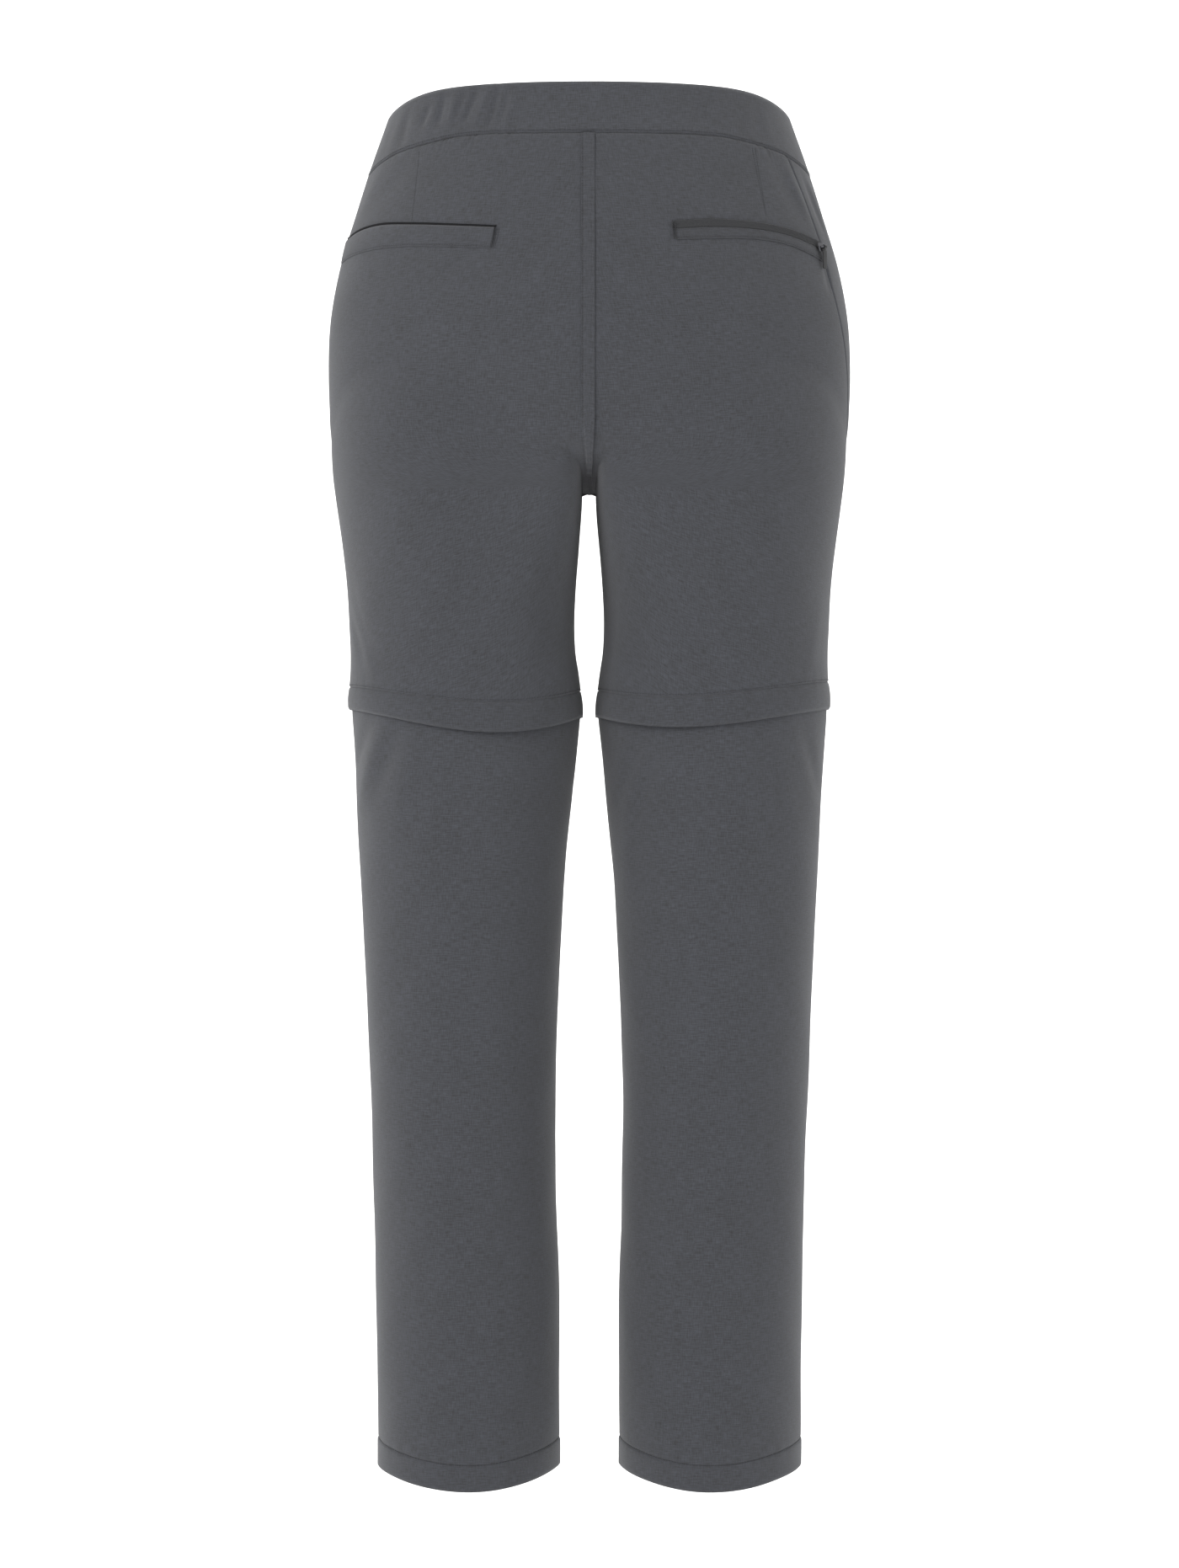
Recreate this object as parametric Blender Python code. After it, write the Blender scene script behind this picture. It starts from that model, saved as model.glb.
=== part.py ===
"""Convertible zip-off trousers, worn and hollow, as separate cut and sewn pieces.

Units are metres, +Z up. The front faces -Y and the back +Y, and the wearer's left is +X. The origin
is at the centre of the waist, half-way up the waistband, where the wearer holds the garment.

Every piece of cloth lies on one of two surfaces. The hips and thighs are one, the zip-off lower legs
the other. Both are worked out for the left half and mirrored for the right. A point on them has an
angle round the leg's axis, 0 at the outer side, 90 degrees at the back and 180 at the inner leg, and
a height. The front has negative angles.
"""
import math

import bmesh
import bpy
import numpy as np
from mathutils import Matrix, Vector

COLLECTION_NAME = "convertible_trousers"
HELPER_COLLECTION = "joined_shapes"

# Cloth
WALL = 0.0014
FLAP_WALL = 0.0012
TRIM_WALL = 0.0010
BAND_WALL = 0.0022
GAP = 0.0003

# Waist
BAND_HEIGHT = 0.0395
BAND_HEIGHT_SIDE = 0.0435
WAIST_TOP_BACK = 0.0215
WAIST_TOP_SIDE = 0.0080
WAIST_TOP_FRONT = 0.0085
BAND_SEAM_ANGLE = 4.0
GATHERS = 24
GATHER_DEPTH = 0.0013
LAP = 0.088
UNDERLAP = 0.059

# Crotch
CROTCH_Z = -0.2770
BACK_TURN_Z = -0.2345
FRONT_TURN_Z = -0.2150
FLOOR_POWER = 2.2
HIP_POWER = 2.2
LEG_POWER = 2.1
INSEAM_START_DROP = 0.0020

# Seam lines that cross a leg: height at the outer and inner leg, how far they dip behind and before,
# and how many degrees the lowest point lies towards the inner leg
KNEE_SEAM = {
    "left": {"outer": -0.4255, "inner": -0.4290, "back_dip": 0.0112, "front_dip": 0.0060, "turn": 12.0},
    "right": {"outer": -0.4215, "inner": -0.4285, "back_dip": 0.0087, "front_dip": 0.0060, "turn": 12.0},
}
FLAP_EDGE = {
    "left": {"outer": -0.4430, "inner": -0.4490, "back_dip": 0.0146, "front_dip": 0.0100, "turn": 12.0},
    "right": {"outer": -0.4428, "inner": -0.4487, "back_dip": 0.0110, "front_dip": 0.0080, "turn": 12.0},
}
HEM_EDGE = {
    "left": {"outer": -1.0225, "inner": -1.0225, "back_dip": 0.0108, "front_dip": -0.0020, "turn": 2.0},
    "right": {"outer": -1.0225, "inner": -1.0225, "back_dip": 0.0108, "front_dip": -0.0020, "turn": 2.0},
}
DIP_POWER = 2.5
ZIP_HEIGHT = 0.0140
HEM_DEPTH = 0.0200
HEM_STEP = 0.0006


class Sections:
    """Rows of named sizes against height, joined by smooth curves."""

    def __init__(self, names, rows):
        table = np.array(sorted(rows))
        self.heights = table[:, 0]
        self.columns = dict(zip(names, table[:, 1:].T))

    def at(self, name, height):
        """The named size at a height, or at an array of heights."""
        heights = self.heights
        values = self.columns[name]
        slopes = np.gradient(values, heights)
        i = np.clip(np.searchsorted(heights, height) - 1, 0, len(heights) - 2)
        step = heights[i + 1] - heights[i]
        t = np.clip((height - heights[i]) / step, 0.0, 1.0)
        rise = t * t * (3.0 - 2.0 * t)
        leave = t * (1.0 - t) ** 2 * step
        arrive = t * t * (t - 1.0) * step
        return values[i] + (values[i + 1] - values[i]) * rise + slopes[i] * leave + slopes[i + 1] * arrive


# Half width and depth of the hips
HIPS = Sections(("side", "back", "front"), (
    (0.0300, 0.1480, 0.1115, -0.0985),
    (0.0150, 0.1528, 0.1145, -0.1015),
    (0.0000, 0.1580, 0.1180, -0.1045),
    (-0.0250, 0.1668, 0.1245, -0.1090),
    (-0.0650, 0.1795, 0.1335, -0.1140),
    (-0.1050, 0.1912, 0.1405, -0.1170),
    (-0.1450, 0.1984, 0.1440, -0.1180),
    (-0.1850, 0.2000, 0.1415, -0.1170),
    (-0.2100, 0.1995, 0.1360, -0.1150),
    (-0.2300, 0.1985, 0.1300, -0.1130),
    (-0.2500, 0.1940, 0.1280, -0.1090),
    (-0.2800, 0.1860, 0.1270, -0.1040),
))

# Axis that the angles turn about
AXIS = Sections(("x", "y"), (
    (0.0300, 0.0300, 0.0060),
    (-0.0250, 0.0350, 0.0070),
    (-0.0850, 0.0520, 0.0090),
    (-0.1450, 0.0760, 0.0115),
    (-0.2000, 0.0930, 0.0120),
    (-0.2350, 0.0985, 0.0110),
    (-0.2850, 0.0996, 0.0095),
    (-0.3500, 0.0982, 0.0080),
    (-0.4150, 0.0959, 0.0060),
    (-0.4700, 0.0949, 0.0050),
))

# Thigh, from inside the hips to the lower edge of the knee flap
THIGH = Sections(("outer", "inner", "back", "front", "inner_power"), (
    (-0.1300, 0.1850, 0.0100, 0.1120, -0.0960, 8.0),
    (-0.2000, 0.1955, 0.0055, 0.1240, -0.1040, 9.0),
    (-0.2350, 0.1976, 0.0050, 0.1265, -0.1050, 9.0),
    (-0.2620, 0.1964, 0.0050, 0.1240, -0.1020, 9.0),
    (-0.2850, 0.1937, 0.0055, 0.1195, -0.0990, 7.0),
    (-0.3170, 0.1895, 0.0079, 0.1130, -0.0950, 4.6),
    (-0.3500, 0.1859, 0.0105, 0.1065, -0.0910, 3.3),
    (-0.3820, 0.1843, 0.0114, 0.1010, -0.0880, 2.7),
    (-0.4000, 0.1836, 0.0104, 0.0990, -0.0865, 2.6),
    (-0.4150, 0.1838, 0.0081, 0.0975, -0.0855, 2.5),
    (-0.4300, 0.1849, 0.0062, 0.0970, -0.0850, 2.4),
    (-0.4460, 0.1854, 0.0049, 0.0970, -0.0850, 2.4),
    (-0.4800, 0.1850, 0.0040, 0.0965, -0.0848, 2.4),
))

# Lower leg, from the knee zip to the hem
LOWER_LEG = Sections(("outer", "inner", "back", "front"), (
    (-0.4100, 0.1830, 0.0062, 0.0950, -0.0835),
    (-0.4460, 0.1823, 0.0068, 0.0938, -0.0826),
    (-0.4670, 0.1810, 0.0088, 0.0920, -0.0815),
    (-0.5060, 0.1791, 0.0127, 0.0885, -0.0795),
    (-0.5450, 0.1771, 0.0166, 0.0855, -0.0770),
    (-0.5840, 0.1752, 0.0198, 0.0830, -0.0745),
    (-0.6620, 0.1713, 0.0237, 0.0800, -0.0695),
    (-0.7400, 0.1680, 0.0260, 0.0780, -0.0660),
    (-0.8180, 0.1654, 0.0252, 0.0765, -0.0650),
    (-0.8960, 0.1641, 0.0231, 0.0750, -0.0655),
    (-0.9740, 0.1628, 0.0231, 0.0735, -0.0665),
    (-1.0400, 0.1628, 0.0231, 0.0725, -0.0675),
))

# Angle of the side seams in degrees. The right one lies further back at the hip, as it does on the body
SIDE_SEAM = Sections(("left", "right"), (
    (0.0300, 5.0, 27.0),
    (-0.0250, 5.0, 27.5),
    (-0.0600, 5.0, 25.3),
    (-0.0950, 5.0, 23.6),
    (-0.1300, 4.6, 23.8),
    (-0.2000, 4.0, 14.5),
    (-0.3000, 3.0, 5.0),
    (-0.4700, 2.0, 2.0),
    (-1.0500, 2.0, 2.0),
))

# Height of the back band's seam against the angle in degrees
BACK_BAND_SEAM = Sections(("height",), (
    (0.0, -0.0355),
    (8.0, -0.0347),
    (15.0, -0.0327),
    (23.0, -0.0289),
    (31.0, -0.0247),
    (38.0, -0.0224),
    (46.0, -0.0202),
    (55.0, -0.0178),
    (66.0, -0.0172),
    (82.0, -0.0177),
    (104.0, -0.0180),
    (180.0, -0.0180),
))

# Largest creases: leg, degrees and height at both ends, half width and height of the ridge or trough
CREASE_COLUMNS = ("side", "angle_a", "z_a", "angle_b", "z_b", "width", "lift")
THIGH_CREASES = (
    (1, 33.0, -0.398, 47.0, -0.424, 0.008, 0.0012),
    (1, 20.0, -0.372, 38.0, -0.414, 0.007, -0.0012),
    (-1, 120.0, -0.396, 138.0, -0.424, 0.007, -0.0012),
)
LOWER_CREASES = (
    (1, 50.0, -0.456, 20.0, -0.515, 0.009, 0.0018),
    (1, 38.0, -0.454, 12.0, -0.485, 0.008, -0.0022),
    (1, 57.0, -0.460, 38.0, -0.510, 0.009, -0.0018),
    (1, -40.0, -0.456, -16.0, -0.510, 0.009, -0.0020),
    (-1, 125.0, -0.456, 150.0, -0.510, 0.009, -0.0022),
    (-1, 118.0, -0.470, 137.0, -0.525, 0.008, -0.0014),
    (-1, 42.0, -0.456, 20.0, -0.505, 0.009, -0.0016),
    (-1, -40.0, -0.456, -16.0, -0.510, 0.009, -0.0020),
)

# Back pockets against the angle in degrees: heights of the upper edge, the lower edge and the coil
WELT = Sections(("upper", "lower"), (
    (82.5, -0.0897, -0.1050),
    (66.0, -0.0868, -0.1026),
    (50.0, -0.0838, -0.1003),
    (34.0, -0.0814, -0.1000),
    (24.0, -0.0825, -0.1012),
    (14.0, -0.0852, -0.1030),
))
POCKET_ZIP = Sections(("upper", "lower", "coil"), (
    (85.5, -0.0856, -0.0990, -0.0904),
    (70.0, -0.0828, -0.0970, -0.0890),
    (57.0, -0.0832, -0.0960, -0.0887),
    (44.0, -0.0850, -0.0978, -0.0906),
    (33.0, -0.0885, -0.1030, -0.0950),
    (25.2, -0.0916, -0.1068, -0.0979),
))
COIL_HALF_WIDTH = 0.0016
COIL_HEIGHT = 0.0010

# Pocket zip's slider and pull tab
SLIDER_ANGLE = 27.4
SLIDER_LENGTH = 0.0090
SLIDER_WIDTH = 0.0070
PLATE_THICK = 0.0014
CROWN_RADIUS = 0.0006
CROWN_LENGTH = 0.0050
CROWN_RISE = 0.0019
POST_LENGTH = 0.0010
EYE_BORE = 0.00095
EYE_RADIUS = 0.0016
EYE_LENGTH = 0.0024
PULL_LENGTH = 0.0165
PULL_WIDTH = 0.0050
PULL_THICK = 0.0014
PULL_TILT = 14.0

# Front closure
BUTTON_RADIUS = 0.0085
BUTTON_THICK = 0.0026
BUTTON_SHARE = -0.020
PLACKET_LENGTH = 0.1550
PLACKET_WIDTH = 0.0320
PLACKET_LAP = 0.0040

# Felled seam down the seat
FELL_LEFT = 0.0060
FELL_RIGHT = -0.0042
FELL_END = 0.0025
FELL_END_TURN = 36.0

# Knee zip's slider
KNEE_SLIDER_ANGLE = -14.0
KNEE_SLIDER_SIZE = (0.0090, 0.0070, 0.0011)


def fade(low, high, value):
    """0 below low, 1 above high, and a smooth step between them."""
    t = np.clip((value - low) / (high - low), 0.0, 1.0)
    return t * t * (3.0 - 2.0 * t)


def oval_radius(angle, outer, inner, back, front, inner_power):
    """Distance from a leg's axis to its cloth, with a squarer inner side where the power is high."""
    across = np.cos(angle)
    along = np.sin(angle)
    half_x = np.where(across >= 0.0, outer, inner)
    half_y = np.where(along >= 0.0, back, front)
    power = np.where(across >= 0.0, LEG_POWER, inner_power)
    return ((np.abs(across) / half_x) ** power + (np.abs(along) / half_y) ** power) ** (-1.0 / power)


def hip_depth(z, back):
    """Half depth of the hips at the centre seam, which turns under the crotch into a floor."""
    turn_z = BACK_TURN_Z if back else FRONT_TURN_Z
    full = np.abs(HIPS.at("back" if back else "front", z) - AXIS.at("y", z))
    drop = np.clip((turn_z - z) / (turn_z - CROTCH_Z), 0.0, 1.0)
    return full * (1.0 - drop ** FLOOR_POWER) ** (1.0 / FLOOR_POWER)


def hip_radius(angle, z):
    """Distance from the axis to the outline of the hips, found by halving."""
    across = np.cos(angle)
    along = np.sin(angle)
    start = AXIS.at("x", z)
    side = HIPS.at("side", z)
    depth = np.maximum(np.where(along >= 0.0, hip_depth(z, True), hip_depth(z, False)), 1e-6)
    low = np.zeros_like(across * z)
    high = low + 0.5
    for _ in range(40):
        middle = (low + high) / 2.0
        x_part = np.abs(start + middle * across) / side
        y_part = np.abs(middle * along) / depth
        inside = x_part ** HIP_POWER + y_part ** HIP_POWER < 1.0
        low = np.where(inside, middle, low)
        high = np.where(inside, high, middle)
    return np.where(z > CROTCH_Z, low, 0.0)


def leg_radius(table, angle, z, axis_x, axis_y, inner_power):
    """Distance from the axis to a leg's cloth."""
    return oval_radius(
        angle,
        table.at("outer", z) - axis_x,
        axis_x - table.at("inner", z),
        table.at("back", z) - axis_y,
        axis_y - table.at("front", z),
        inner_power,
    )


def thigh_point(angle, z):
    """Point on the outer face of the hips and thigh."""
    axis_x = AXIS.at("x", z)
    axis_y = AXIS.at("y", z)
    leg = leg_radius(THIGH, angle, z, axis_x, axis_y, THIGH.at("inner_power", z))
    leg = leg * (1.0 - fade(-0.190, -0.130, z))
    hips = hip_radius(angle, z)
    soft = 0.0015 + 0.0040 * fade(math.radians(60), math.radians(110), np.abs(angle))
    overlap = np.maximum(soft - np.abs(leg - hips), 0.0) / soft
    radius = np.maximum(leg, hips) + overlap ** 2 * soft / 4.0
    return np.stack([axis_x + radius * np.cos(angle), axis_y + radius * np.sin(angle), z + 0.0 * angle], -1)


def lower_point(angle, z):
    """Point on the outer face of the lower leg."""
    axis_x = (LOWER_LEG.at("outer", z) + LOWER_LEG.at("inner", z)) / 2.0
    axis_y = (LOWER_LEG.at("back", z) + LOWER_LEG.at("front", z)) / 2.0
    radius = leg_radius(LOWER_LEG, angle, z, axis_x, axis_y, LEG_POWER)
    return np.stack([axis_x + radius * np.cos(angle), axis_y + radius * np.sin(angle), z + 0.0 * angle], -1)


def outward(point, angle, z):
    """Unit normals of a surface, pointing out of the garment."""
    turn = 0.002
    rise = 0.0005
    around = point(angle + turn, z) - point(angle - turn, z)
    upward = point(angle, z + rise) - point(angle, z - rise)
    normal = np.cross(around, upward)
    return normal / np.linalg.norm(normal, axis=-1, keepdims=True)


def lifted(point, angle, z, lift):
    """Points of a surface moved out by lift, which may vary over the surface."""
    lift = lift + 0.0 * angle * z
    return point(angle, z) + outward(point, angle, z) * lift[..., None]


def crease_lift(creases, side, angle, z):
    """Height of the creases that cross a point."""
    lift = 0.0 * angle * z
    leg_size = 0.088
    for row in creases:
        crease = dict(zip(CREASE_COLUMNS, row))
        if crease["side"] != side:
            continue
        start = np.array([math.radians(crease["angle_a"]) * leg_size, crease["z_a"]])
        end = np.array([math.radians(crease["angle_b"]) * leg_size, crease["z_b"]])
        run = end - start
        place = np.stack([angle * leg_size + 0.0 * z, z + 0.0 * angle], -1) - start
        along = np.clip(place @ run / (run @ run), 0.0, 1.0)
        off = np.linalg.norm(place - along[..., None] * run, axis=-1) / crease["width"]
        lift = lift + crease["lift"] * np.exp(-off ** 2) * (0.35 + 0.65 * np.sin(math.pi * along))
    return lift


def leg_line(line, side, angle):
    """Height of a seam that crosses a leg."""
    row = line["left" if side > 0 else "right"]
    share = (1.0 - np.cos(angle)) / 2.0
    dip = np.where(np.sin(angle) >= 0.0, row["back_dip"], row["front_dip"])
    lowest = np.abs(np.sin(angle - math.radians(row["turn"]) * np.sin(angle))) ** DIP_POWER
    return row["outer"] + (row["inner"] - row["outer"]) * share - dip * lowest


def side_angle(side, z):
    """Angle of a side seam."""
    return np.radians(SIDE_SEAM.at("left" if side > 0 else "right", z))


def centre_angle(back, z):
    """Angle of the centre seam, where the left half meets the right."""
    depth = hip_depth(z, back)
    return np.arctan2(depth if back else -depth, -AXIS.at("x", z))


def waist_height(angle, level):
    """Height of the waistband's lower edge, level 0, to its upper edge, level 1."""
    centre = np.where(np.sin(angle) >= 0.0, WAIST_TOP_BACK, WAIST_TOP_FRONT)
    sideways = np.clip(np.cos(angle), 0.0, 1.0)
    top = centre + (WAIST_TOP_SIDE - centre) * sideways ** 9
    height = BAND_HEIGHT + (BAND_HEIGHT_SIDE - BAND_HEIGHT) * sideways ** 1.2
    seam = np.where(np.sin(angle) >= 0.0, BACK_BAND_SEAM.at("height", np.degrees(angle)), top - height)
    return seam + (top - seam) * level


def band_place(back, share, level):
    """Angle and height on a waistband, from the centre, share 0, to the band's side seam, 1."""
    z = -0.01
    for _ in range(3):
        centre = centre_angle(back, z)
        angle = centre + (math.radians(BAND_SEAM_ANGLE) - centre) * share
        z = waist_height(angle, level)
    return angle, z


def to_side(points, side):
    """The left half's points, or their mirror image for the right half."""
    return points * np.array([side, 1.0, 1.0])


def new_material(name, colour, roughness, metallic=0.0):
    """A plain Principled material."""
    material = bpy.data.materials.new(name)
    material.use_nodes = True
    shader = material.node_tree.nodes["Principled BSDF"]
    shader.inputs["Base Color"].default_value = (*colour, 1.0)
    shader.inputs["Roughness"].default_value = roughness
    shader.inputs["Metallic"].default_value = metallic
    return material


def new_object(name, mesh_data, material, smooth=True):
    """An object in the garment's collection, with its faces pointing out."""
    bmesh.ops.recalc_face_normals(mesh_data, faces=mesh_data.faces)
    if mesh_data.calc_volume(signed=True) < 0.0:
        bmesh.ops.reverse_faces(mesh_data, faces=mesh_data.faces)
    mesh = bpy.data.meshes.new(name)
    mesh_data.to_mesh(mesh)
    mesh_data.free()
    mesh.materials.append(material)
    if smooth:
        mesh.shade_smooth()
        mesh.set_sharp_from_angle(angle=math.radians(40))
    piece = bpy.data.objects.new(name, mesh)
    bpy.data.collections[COLLECTION_NAME].objects.link(piece)
    return piece


def merge(piece, helper, operation):
    """Join a helper to a piece, or cut it away, and keep the helper out of sight."""
    helper.hide_render = True
    helper.display_type = "WIRE"
    modifier = piece.modifiers.new(helper.name, "BOOLEAN")
    modifier.operation = operation
    modifier.object = helper


def new_helper(name, mesh_data):
    """A shape that only joins or cuts another."""
    mesh = bpy.data.meshes.new(name)
    mesh_data.to_mesh(mesh)
    mesh_data.free()
    helper = bpy.data.objects.new(name, mesh)
    bpy.data.collections[HELPER_COLLECTION].objects.link(helper)
    return helper


def box(size, centre, bevel=0.0):
    """A block with rounded edges, in its own axes."""
    block = bmesh.new()
    bmesh.ops.create_cube(block, size=1.0)
    bmesh.ops.scale(block, verts=block.verts, vec=size)
    bmesh.ops.translate(block, verts=block.verts, vec=centre)
    if bevel:
        bmesh.ops.bevel(block, geom=block.edges[:], offset=bevel, segments=2, profile=0.5, affect="EDGES")
    return block


def rod(radius, length, segments):
    """A round bar along its own X axis, centred on the origin."""
    bar = bmesh.new()
    turn = Matrix.Rotation(math.pi / 2.0, 4, "Y")
    bmesh.ops.create_cone(bar, segments=segments, radius1=radius, radius2=radius, depth=length,
                          cap_ends=True, matrix=turn)
    return bar


def cloth(name, outer, inner, material, ring=False):
    """A closed wall between two grids of points, or a closed ring if its ends meet."""
    columns = outer.shape[0] - 1
    rows = outer.shape[1] - 1
    slab = bmesh.new()
    bmesh.ops.create_grid(slab, x_segments=columns, y_segments=rows, size=1.0)
    sheet = bmesh.ops.extrude_face_region(slab, geom=slab.faces[:], use_keep_orig=True)
    raised = [item for item in sheet["geom"] if isinstance(item, bmesh.types.BMVert)]
    bmesh.ops.translate(slab, verts=raised, vec=(0.0, 0.0, 1.0))
    for vert in slab.verts:
        column = round((vert.co.x + 1.0) / 2.0 * columns)
        row = round((vert.co.y + 1.0) / 2.0 * rows)
        vert.index = column
        wall = outer if vert.co.z > 0.5 else inner
        vert.co = wall[column, row]
    if ring:
        ends = [face for face in slab.faces if len({vert.index for vert in face.verts} & {0, columns}) == 1
                and len({vert.index for vert in face.verts}) == 1]
        bmesh.ops.delete(slab, geom=ends, context="FACES_ONLY")
        bmesh.ops.remove_doubles(slab, verts=slab.verts, dist=1e-6)
    return new_object(name, slab, material)


def centre_seam(back, heights, x):
    """Points of the centre seam at rising or falling heights, at a distance x from it, and their normals."""
    sign = 1.0 if back else -1.0
    centre_y = AXIS.at("y", heights) + sign * np.maximum(hip_depth(heights, back), GAP / 2.0)
    tangent = np.stack([np.gradient(centre_y), np.gradient(heights)], -1)
    tangent /= np.linalg.norm(tangent, axis=1, keepdims=True)
    normal = np.stack([0.0 * centre_y, -sign * tangent[:, 1], sign * tangent[:, 0]], -1)
    return np.stack([x + 0.0 * centre_y, centre_y, heights], -1), normal


def panel_rows(side, back, seat_rows, turn_rows, leg_rows):
    """Rows of a shorts panel: height at its inner edge, depth there, height at its side edge."""
    turn_z = BACK_TURN_Z if back else FRONT_TURN_Z
    inner_top = float(waist_height(centre_angle(back, -0.02), 0.0))
    side_top = float(waist_height(side_angle(side, -0.03), 0.0))
    knee_inner = leg_line(KNEE_SEAM, side, math.pi)
    knee_outer = leg_line(KNEE_SEAM, side, 0.0)
    turns = np.linspace(0.0, math.pi / 2.0, turn_rows + 1)[1:]
    seat_z = np.linspace(inner_top, turn_z, seat_rows + 1)
    floor_z = turn_z - (turn_z - CROTCH_Z) * np.sin(turns) ** (2.0 / FLOOR_POWER)
    leg_z = np.linspace(CROTCH_Z - INSEAM_START_DROP, knee_inner, leg_rows + 1)
    side_z = np.concatenate([
        np.linspace(side_top, -0.215, seat_rows + 1),
        np.linspace(-0.215, -0.285, turn_rows + 1)[1:],
        np.linspace(-0.291, knee_outer, leg_rows + 1),
    ])
    inner_z = np.concatenate([seat_z, floor_z, leg_z])
    hip_rows = seat_rows + turn_rows + 1
    return inner_z, side_z, hip_rows


def shorts_panel(name, side, back, columns, counts, material):
    """Back or front of one half of the shorts part, waist seam to knee seam."""
    inner_z, side_z, hip_rows = panel_rows(side, back, *counts)
    rows = len(inner_z)
    sign = 1.0 if back else -1.0
    share = np.concatenate([[0.0, 0.04], np.linspace(0.09, 1.0, columns - 1)])[:, None]
    inner_angle = np.where(
        np.arange(rows) < hip_rows,
        np.arctan2(sign * np.maximum(hip_depth(inner_z, back), GAP / 2.0), -AXIS.at("x", inner_z)),
        sign * (math.pi - GAP / 2.0 / 0.094),
    )
    outer_angle = side_angle(side, side_z) + sign * GAP / 2.0 / 0.09
    angle = inner_angle + (outer_angle - inner_angle) * share
    z = inner_z + (side_z - inner_z) * share
    row_number = np.arange(rows)
    near_top = np.clip(1.0 - row_number / 4.0, 0.0, 1.0) ** 2
    near_knee = np.clip(1.0 - (rows - 1 - row_number) / 4.0, 0.0, 1.0) ** 2
    waist_seam = waist_height(angle[:, :1], 0.0) - GAP
    knee_seam = leg_line(KNEE_SEAM, side, angle[:, -1:]) + GAP / 2.0
    z = z + (waist_seam - z[:, :1]) * near_top + (knee_seam - z[:, -1:]) * near_knee
    lift = crease_lift(THIGH_CREASES, side, angle, z) * fade(0.0, 0.012, z - knee_seam)
    outer = lifted(thigh_point, angle, z, lift)
    inner = lifted(thigh_point, angle, z, lift - WALL)
    seam, normal = centre_seam(back, z[0, :hip_rows], GAP / 2.0)
    outer[0, :hip_rows] = seam
    inner[0, :hip_rows] = seam - normal * WALL
    outer[:, :, 0] = np.maximum(outer[:, :, 0], GAP / 2.0)
    inner[:, :, 0] = np.maximum(inner[:, :, 0], GAP / 2.0)
    return cloth(name, to_side(outer, side), to_side(inner, side), material)


def waistband(name, stations, back, wall, material):
    """A stretch of waistband through stations of side, share from the centre, and lift at mid-height."""
    levels = ((GAP / BAND_HEIGHT, 0.4), (0.5, 1.0), (1.0, 0.25))
    outer = np.zeros((len(stations), len(levels), 3))
    inner = np.zeros_like(outer)
    for column, (side, share, wave, step) in enumerate(stations):
        for row, (level, wave_share) in enumerate(levels):
            angle, z = band_place(back, share, level)
            outer[column, row] = to_side(lifted(thigh_point, angle, z, step + wave * wave_share), side)
            inner[column, row] = to_side(lifted(thigh_point, angle, z, step - wall), side)
    return cloth(name, outer, inner, material)


def back_waistband(material):
    """Elastic back band, gathered into uneven waves that are deeper on the wearer's left."""
    seam_gap = 0.0010
    count = GATHERS * 4
    stations = []
    for i in range(count + 1):
        place = 2.0 * i / count - 1.0
        side = 1.0 if place > 0.0 else -1.0
        wave = i / 4.0
        height = GATHER_DEPTH * (0.55 + 0.45 * math.sin(2.4 * int(wave) + 0.6)) * (0.75 + 0.25 * place)
        ends = math.sin(math.pi * i / count) ** 0.4
        crest = (1.0 - math.cos(2.0 * math.pi * wave)) / 2.0
        stations.append((side, abs(place) * (1.0 - seam_gap), height * ends * crest, 0.0))
    return waistband("waistband_back", stations, True, BAND_WALL, material)


def front_waistbands(material):
    """Front band in two, the right one lapping over the end of the left one."""
    seam_gap = 0.0010
    under = -(BAND_WALL + 2.0 * GAP)
    shares = np.linspace(1.0 - seam_gap, 0.0, 15)
    right = [(-1.0, share, 0.0, 0.0) for share in shares]
    right += [(-1.0, -LAP * step / 3.0, 0.0, 0.0) for step in (1, 2, 3)]
    left_shares = np.linspace(1.0 - seam_gap, LAP + 0.075, 14)
    left = [(1.0, share, 0.0, 0.0) for share in left_shares]
    left += [(1.0, share, 0.0, under) for share in np.linspace(LAP + 0.045, -UNDERLAP, 6)]
    waistband("waistband_front_right", right, False, BAND_WALL, material)
    waistband("waistband_front_left", left, False, BAND_WALL, material)


def lower_leg(name, side, back, columns, rows, material):
    """Back or front of a lower leg, from inside the knee zip to the hem, whose turn-up stands proud."""
    sign = 1.0 if back else -1.0
    share = np.linspace(0.0, 1.0, columns + 1)[:, None]
    inner_angle = sign * (math.pi - GAP / 2.0 / 0.07)
    outer_angle = side_angle(side, -0.7) + sign * GAP / 2.0 / 0.08
    angle = inner_angle + (outer_angle - inner_angle) * share
    top = leg_line(KNEE_SEAM, side, angle) - ZIP_HEIGHT
    bottom = leg_line(HEM_EDGE, side, angle)
    hem_top = bottom + HEM_DEPTH
    body = top + (hem_top - top) * np.array(rows)
    z = np.concatenate([body, hem_top - 0.0015, bottom], axis=1)
    folds_lift = crease_lift(LOWER_CREASES, side, angle, z)
    hem_lift = np.zeros_like(folds_lift)
    hem_lift[:, -2:] = HEM_STEP
    outer = lifted(lower_point, angle, z, folds_lift + hem_lift)
    inner = lifted(lower_point, angle, z, folds_lift - WALL)
    return cloth(name, to_side(outer, side), to_side(inner, side), material)


def full_turn(columns):
    """Angles once round a leg, from the inner side back to it."""
    return np.linspace(-math.pi, math.pi, columns + 1)[:, None]


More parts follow.
